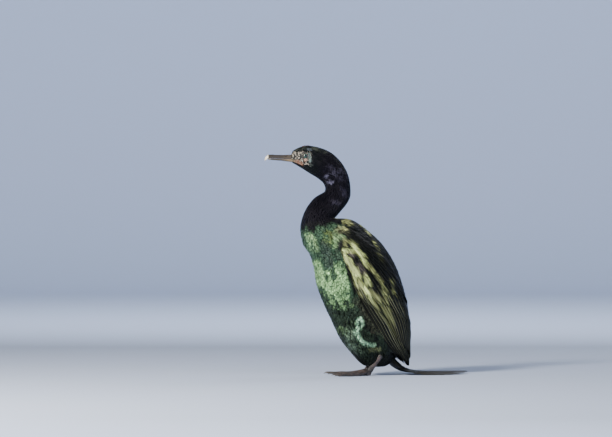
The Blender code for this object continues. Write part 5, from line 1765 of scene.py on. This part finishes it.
def lid(name, side, steps=104, around=12):
    """A beaded ring round the eye that leans on the ball."""
    axis = turned_way(np.array((0, side, 0)))
    ahead = turned_way(np.array((1, 0, 0)))
    up = np.array((0, 0, 1.0))
    turn = math.tau * np.arange(steps)[:, None] / steps
    ring = math.tau * np.arange(around)[None] / around
    out = ahead * np.cos(turn)[..., None] + up * LID_HEIGHT * np.sin(turn)[..., None]
    fat = LID_THICK * (1 + 0.14 * np.cos(turn * LID_BEADS) + 0.18 * np.sin(turn))
    offset = out * (np.cos(ring) * fat)[..., None] + axis * (0.75 * np.sin(ring) * fat)[..., None]
    rings = eye_middle[name] + out * LID_RADIUS + axis * LID_OUT + offset
    closed = np.concatenate([rings, rings[:1]])
    bm = tube(closed)
    bmesh.ops.delete(bm, geom=[face for face in bm.faces if len(face.verts) > 4], context="FACES_ONLY")
    bmesh.ops.remove_doubles(bm, verts=bm.verts[:], dist=1e-7)
    bmesh.ops.recalc_face_normals(bm, faces=bm.faces[:])
    return mesh_object(bm, f"lid_{name}")


def lid_finish():
    """Dark bare skin with dull red blotches."""
    material, tree, shader = finish(
        "lid_skin", (0.03, 0.012, 0.014), 0.42, Coat_Weight=0.3, Coat_Roughness=0.25
    )
    blotches = ramp(tree, texture(tree, "Noise", Scale=520.0, Detail=2.0).outputs["Fac"], 0.45, 0.62)
    colour = blend_colour(tree, blotches, (0.016, 0.012, 0.011), (0.115, 0.038, 0.034))
    tree.links.new(colour, shader.inputs["Base Color"])
    return material


lid_skin = lid_finish()
for name, side in SIDES.items():
    put(lid(name, side), "plumage_black", material=lid_skin)

# %% [markdown]
# ## Legs and feet
#
# All four toes of a cormorant are joined by webs. Toes, webs and the shank are separate tubes and sheets
# first. A voxel remesh then turns them into one skin, and a few rounds of smoothing soften the joins, as
# when a modeller works wax over wire. Its scales are drawn by the material.

# %% Toes and webs
FOOT_X, FOOT_Y, FOOT_Z = -2 * MM, 27 * MM, 7 * MM
FOOT_TURN = math.radians(4)
# Each toe's length and thickness in millimetres, and its turn from straight ahead in degrees.
TOES = {
    "hind": (24, 2.6, -78),
    "inner": (42, 3.0, -30),
    "middle": (61, 3.3, -3),
    "outer": (68, 3.1, 24),
}
WEB_HEIGHT, WEB_THICK, WEB_HOLLOW, WEB_FOLD = 2.3 * MM, 1.1 * MM, 0.13, 0.25 * MM
SHANK_WAY = Vector((0.62, 0, 0.78)).normalized()
SHANK_LENGTH, SHANK_STEPS = 34 * MM, 24
PAD_RADIUS, PAD_FLAT, PAD_BACK, PAD_UP = 6.3 * MM, 0.72, 3 * MM, 3.9 * MM
FOOT_VOXEL = 0.55 * MM


def toe_line(side, name, u):
    """A point on a toe's middle line, u from the joint to the claw."""
    length, thick, turn = TOES[name]
    joint = Vector((FOOT_X + STANCE[side], side * FOOT_Y, FOOT_Z))
    heading = Vector((-math.cos(FOOT_TURN), side * math.sin(FOOT_TURN), 0))
    heading.rotate(Matrix.Rotation(-side * math.radians(turn) * (1 - 0.25 * u), 3, "Z"))
    low = thick * MM * 0.85
    height = low + (FOOT_Z - low) * (1 - float(smooth(u / 0.42)))
    flat = joint + heading * length * MM * u
    return Vector((flat.x, flat.y, height))


def toe_radius(name, u):
    """A toe thins towards its claw and swells at its joints."""
    knuckle = 1 + 0.10 * math.cos(math.tau * u * 3.0)
    scutes = 1 + 0.018 * math.sin(math.tau * u * TOES[name][0] / 2.2)
    return TOES[name][1] * MM * (1.12 - 0.45 * u) * knuckle * scutes


def pipe(middles, radii, around=16, flat=1.0):
    """A bmesh tube along a line of points."""
    rings = []
    for i, middle in enumerate(middles):
        way = (middles[min(i + 1, len(middles) - 1)] - middles[max(i - 1, 0)]).normalized()
        sideways = way.cross(Vector((0, 0, 1))).normalized()
        up = sideways.cross(way)
        rings.append([
            middle + sideways * radii[i] * flat * math.cos(a) + up * radii[i] * math.sin(a)
            for a in [math.tau * j / around for j in range(around)]
        ])
    return tube(np.array(rings))


def web(side, first, second):
    """The skin between two toes, with a hollow front edge and a few soft folds."""
    bm = bmesh.new()
    bmesh.ops.create_grid(bm, x_segments=22, y_segments=10, size=1)
    for vert in bm.verts:
        u, f = (vert.co.x + 1) / 2, (1.04 * vert.co.y + 1) / 2
        reach = 0.04 + 0.93 * u * (1 - WEB_HOLLOW * max(0, 4 * f * (1 - f)) * u)
        place = toe_line(side, first, reach).lerp(toe_line(side, second, reach), f)
        place.z += (WEB_HEIGHT - place.z) * float(smooth(u / 0.4))
        place.z += WEB_FOLD * math.sin(f * 14 + 2 * u) * u
        vert.co = place
    bmesh.ops.recalc_face_normals(bm, faces=bm.faces[:])
    bmesh.ops.solidify(bm, geom=bm.faces[:], thickness=WEB_THICK)
    bmesh.ops.recalc_face_normals(bm, faces=bm.faces[:])
    return bm


def foot(name, side):
    """Shank, toes and webs of one leg, in one skin."""
    whole = bpy.data.meshes.new("foot")
    parts = []
    steps = [i / 30 for i in range(31)]
    for toe in TOES:
        parts.append(pipe([toe_line(side, toe, u) for u in steps], [toe_radius(toe, u) for u in steps]))
    names = list(TOES)
    for first, second in zip(names, names[1:]):
        parts.append(web(side, first, second))
    joint = Vector((FOOT_X + STANCE[side], side * FOOT_Y, FOOT_Z + 1.5 * MM))
    line = [joint + SHANK_WAY * (d * MM) for d in np.linspace(-3.0, SHANK_LENGTH / MM, SHANK_STEPS)]
    thick = [(4.5 + 0.7 * math.exp(-((i - 3) / 3) ** 2)) * MM for i in range(SHANK_STEPS)]
    parts.append(pipe(line, thick, flat=0.8))
    pad = bmesh.new()
    bmesh.ops.create_uvsphere(pad, u_segments=24, v_segments=16, radius=PAD_RADIUS)
    bmesh.ops.scale(pad, vec=(1, 1, PAD_FLAT), verts=pad.verts[:])
    bmesh.ops.translate(pad, vec=(joint.x - PAD_BACK, joint.y, PAD_UP), verts=pad.verts[:])
    parts.append(pad)
    gathered = bmesh.new()
    for part in parts:
        part.to_mesh(whole)
        part.free()
        gathered.from_mesh(whole)
    piece = mesh_object(gathered, f"leg_{name}")
    remesh = piece.modifiers.new("wax", "REMESH")
    remesh.mode = "VOXEL"
    remesh.voxel_size = FOOT_VOXEL
    relax = piece.modifiers.new("relax", "SMOOTH")
    relax.factor = 0.5
    relax.iterations = 4
    bpy.context.scene.collection.objects.link(piece)
    apply_modifiers(piece)
    bpy.context.scene.collection.objects.unlink(piece)
    for vert in piece.data.vertices:
        vert.co.z = max(vert.co.z, 0.02 * MM)
    piece.data.shade_smooth()
    return piece


def leg_finish():
    """Dark skin with a net of small scales, and paler, pinker blotches."""
    material, tree, shader = finish(
        "leg_skin", (0.05, 0.04, 0.04), 0.46, Coat_Weight=0.12, Coat_Roughness=0.35
    )
    scales = texture(tree, "Voronoi", Scale=750.0, feature="DISTANCE_TO_EDGE").outputs["Distance"]
    blotches = texture(tree, "Noise", Scale=110.0, Detail=4.0).outputs["Fac"]
    fine = texture(tree, "Noise", Scale=1600.0, Detail=2.0).outputs["Fac"]
    pale = ramp(tree, blotches, 0.40, 0.66)
    colour = blend_colour(tree, pale, (0.036, 0.030, 0.029), (0.150, 0.098, 0.082))
    net = ramp(tree, scales, 0.02, 0.14)
    colour = blend_colour(tree, maths(tree, "SUBTRACT", 1.0, net), colour, (0.016, 0.013, 0.012))
    tree.links.new(colour, shader.inputs["Base Color"])
    raised(tree, shader, plus(tree, net, times(tree, fine, 0.3)), 0.7, 0.0003)
    return material


leg_skin = leg_finish()
for name, side in SIDES.items():
    put(foot(name, side), "foot_skin", f"foot_{name}", f"shank_{name}", material=leg_skin)

# %% Claws
CLAW_LENGTH = 9.2 * MM


def claw(side, toe):
    """A curved nail that grows out of the toe's end and bends down to the ground."""
    end = toe_line(side, toe, 1.0)
    way = (end - toe_line(side, toe, 0.9)).normalized()
    way.z = 0
    radius = toe_radius(toe, 1.0)
    middles, radii = [], []
    for f in np.linspace(-0.18, 1.0, 18):
        middle = end + way.normalized() * (CLAW_LENGTH * f)
        middle.z += 0.9 * MM * math.sin(math.pi * max(f, 0)) - (end.z - 0.75 * MM) * max(f, 0) ** 2
        middles.append(middle)
        radii.append(radius * 0.86 * max(0.06, 1 - max(f, 0) ** 1.4))
    bm = pipe(middles, radii, around=14, flat=0.85)
    for vert in bm.verts:
        vert.co.z = max(vert.co.z, 0.1 * MM)
    return bm


def claw_finish():
    """Dark horn with paler streaks."""
    material, tree, shader = finish(
        "claw_horn", (0.06, 0.05, 0.042), 0.35, Coat_Weight=0.3, Coat_Roughness=0.2
    )
    streaks = texture(tree, "Noise", Scale=260.0, Detail=3.0).outputs["Fac"]
    colour = blend_colour(tree, streaks, (0.028, 0.022, 0.019), (0.12, 0.095, 0.075))
    tree.links.new(colour, shader.inputs["Base Color"])
    return material


claw_horn = claw_finish()
for name, side in SIDES.items():
    for toe in TOES:
        nail = mesh_object(claw(side, toe), f"nail_{name}_{toe}")
        put(nail, "claw_horn", f"claw_{name}_{toe}", material=claw_horn)

# %% [markdown]
# ## Feathers of the thighs
#
# Each thigh carries its own feathers, which lie down and back along the lobe towards the ankle.

# %% Thigh feathers
THIGH_SPACING = 2.7 * MM
for name, side in SIDES.items():
    def on_thigh(k, angle, grow=0.0, side=side):
        return thigh(np.clip(k, 0.02, THIGH_END - 0.02), angle, grow, side)

    k, angle = scattered(on_thigh, (0.15, THIGH_END - 0.4), even(THIGH_SPACING))
    keep = off_surface(body_solid, on_thigh(k, angle))[1] >= -1.2 * MM
    k, angle = k[keep], angle[keep]
    count = len(k)
    points = laid(
        on_thigh, k, angle, SMALL_BLANK,
        length=9.5 * MM * draw.uniform(0.85, 1.15, count),
        half_width=2.8 * MM * draw.uniform(0.9, 1.15, count),
        depth=np.full(count, THIGH_COAT),
        rise=0.5 * MM * draw.random(count),
        turn=draw.normal(0, 0.16, count),
        roll=draw.normal(0, 0.1, count),
        arch=0.14, thick=0.22 * MM,
    )
    ground = mixed(BELLY_GREEN, VENT_BROWN, smooth((k - 3.2) / 2.5))
    colours = with_painted_gloss_and_shade(np.repeat(ground[:, None], SMALL_BLANK["along"].size, axis=1), points)
    map_places = on_map(THIGH_MAPS[side], (angle % math.tau) / math.tau, k / THIGH_END)
    tone = np.exp(draw.normal(0, 0.4, count))
    made = joined(f"coat_thigh_{name}", points, SMALL_BLANK, colours, map_places, tone)
    put(made, "plumage_green", material=scaly)

# %% [markdown]
# ## Sizes, and the end
#
# The dressed bird should fill the same space as the frame. Both boxes are printed, the frame's and the
# dressed bird's.

# %% Print the boxes and finish
dressed_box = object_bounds()
for label, (low, high) in (("frame", cad_box), ("dressed", dressed_box)):
    print(label, [round(c * 1000, 1) for c in low], [round(c * 1000, 1) for c in high])
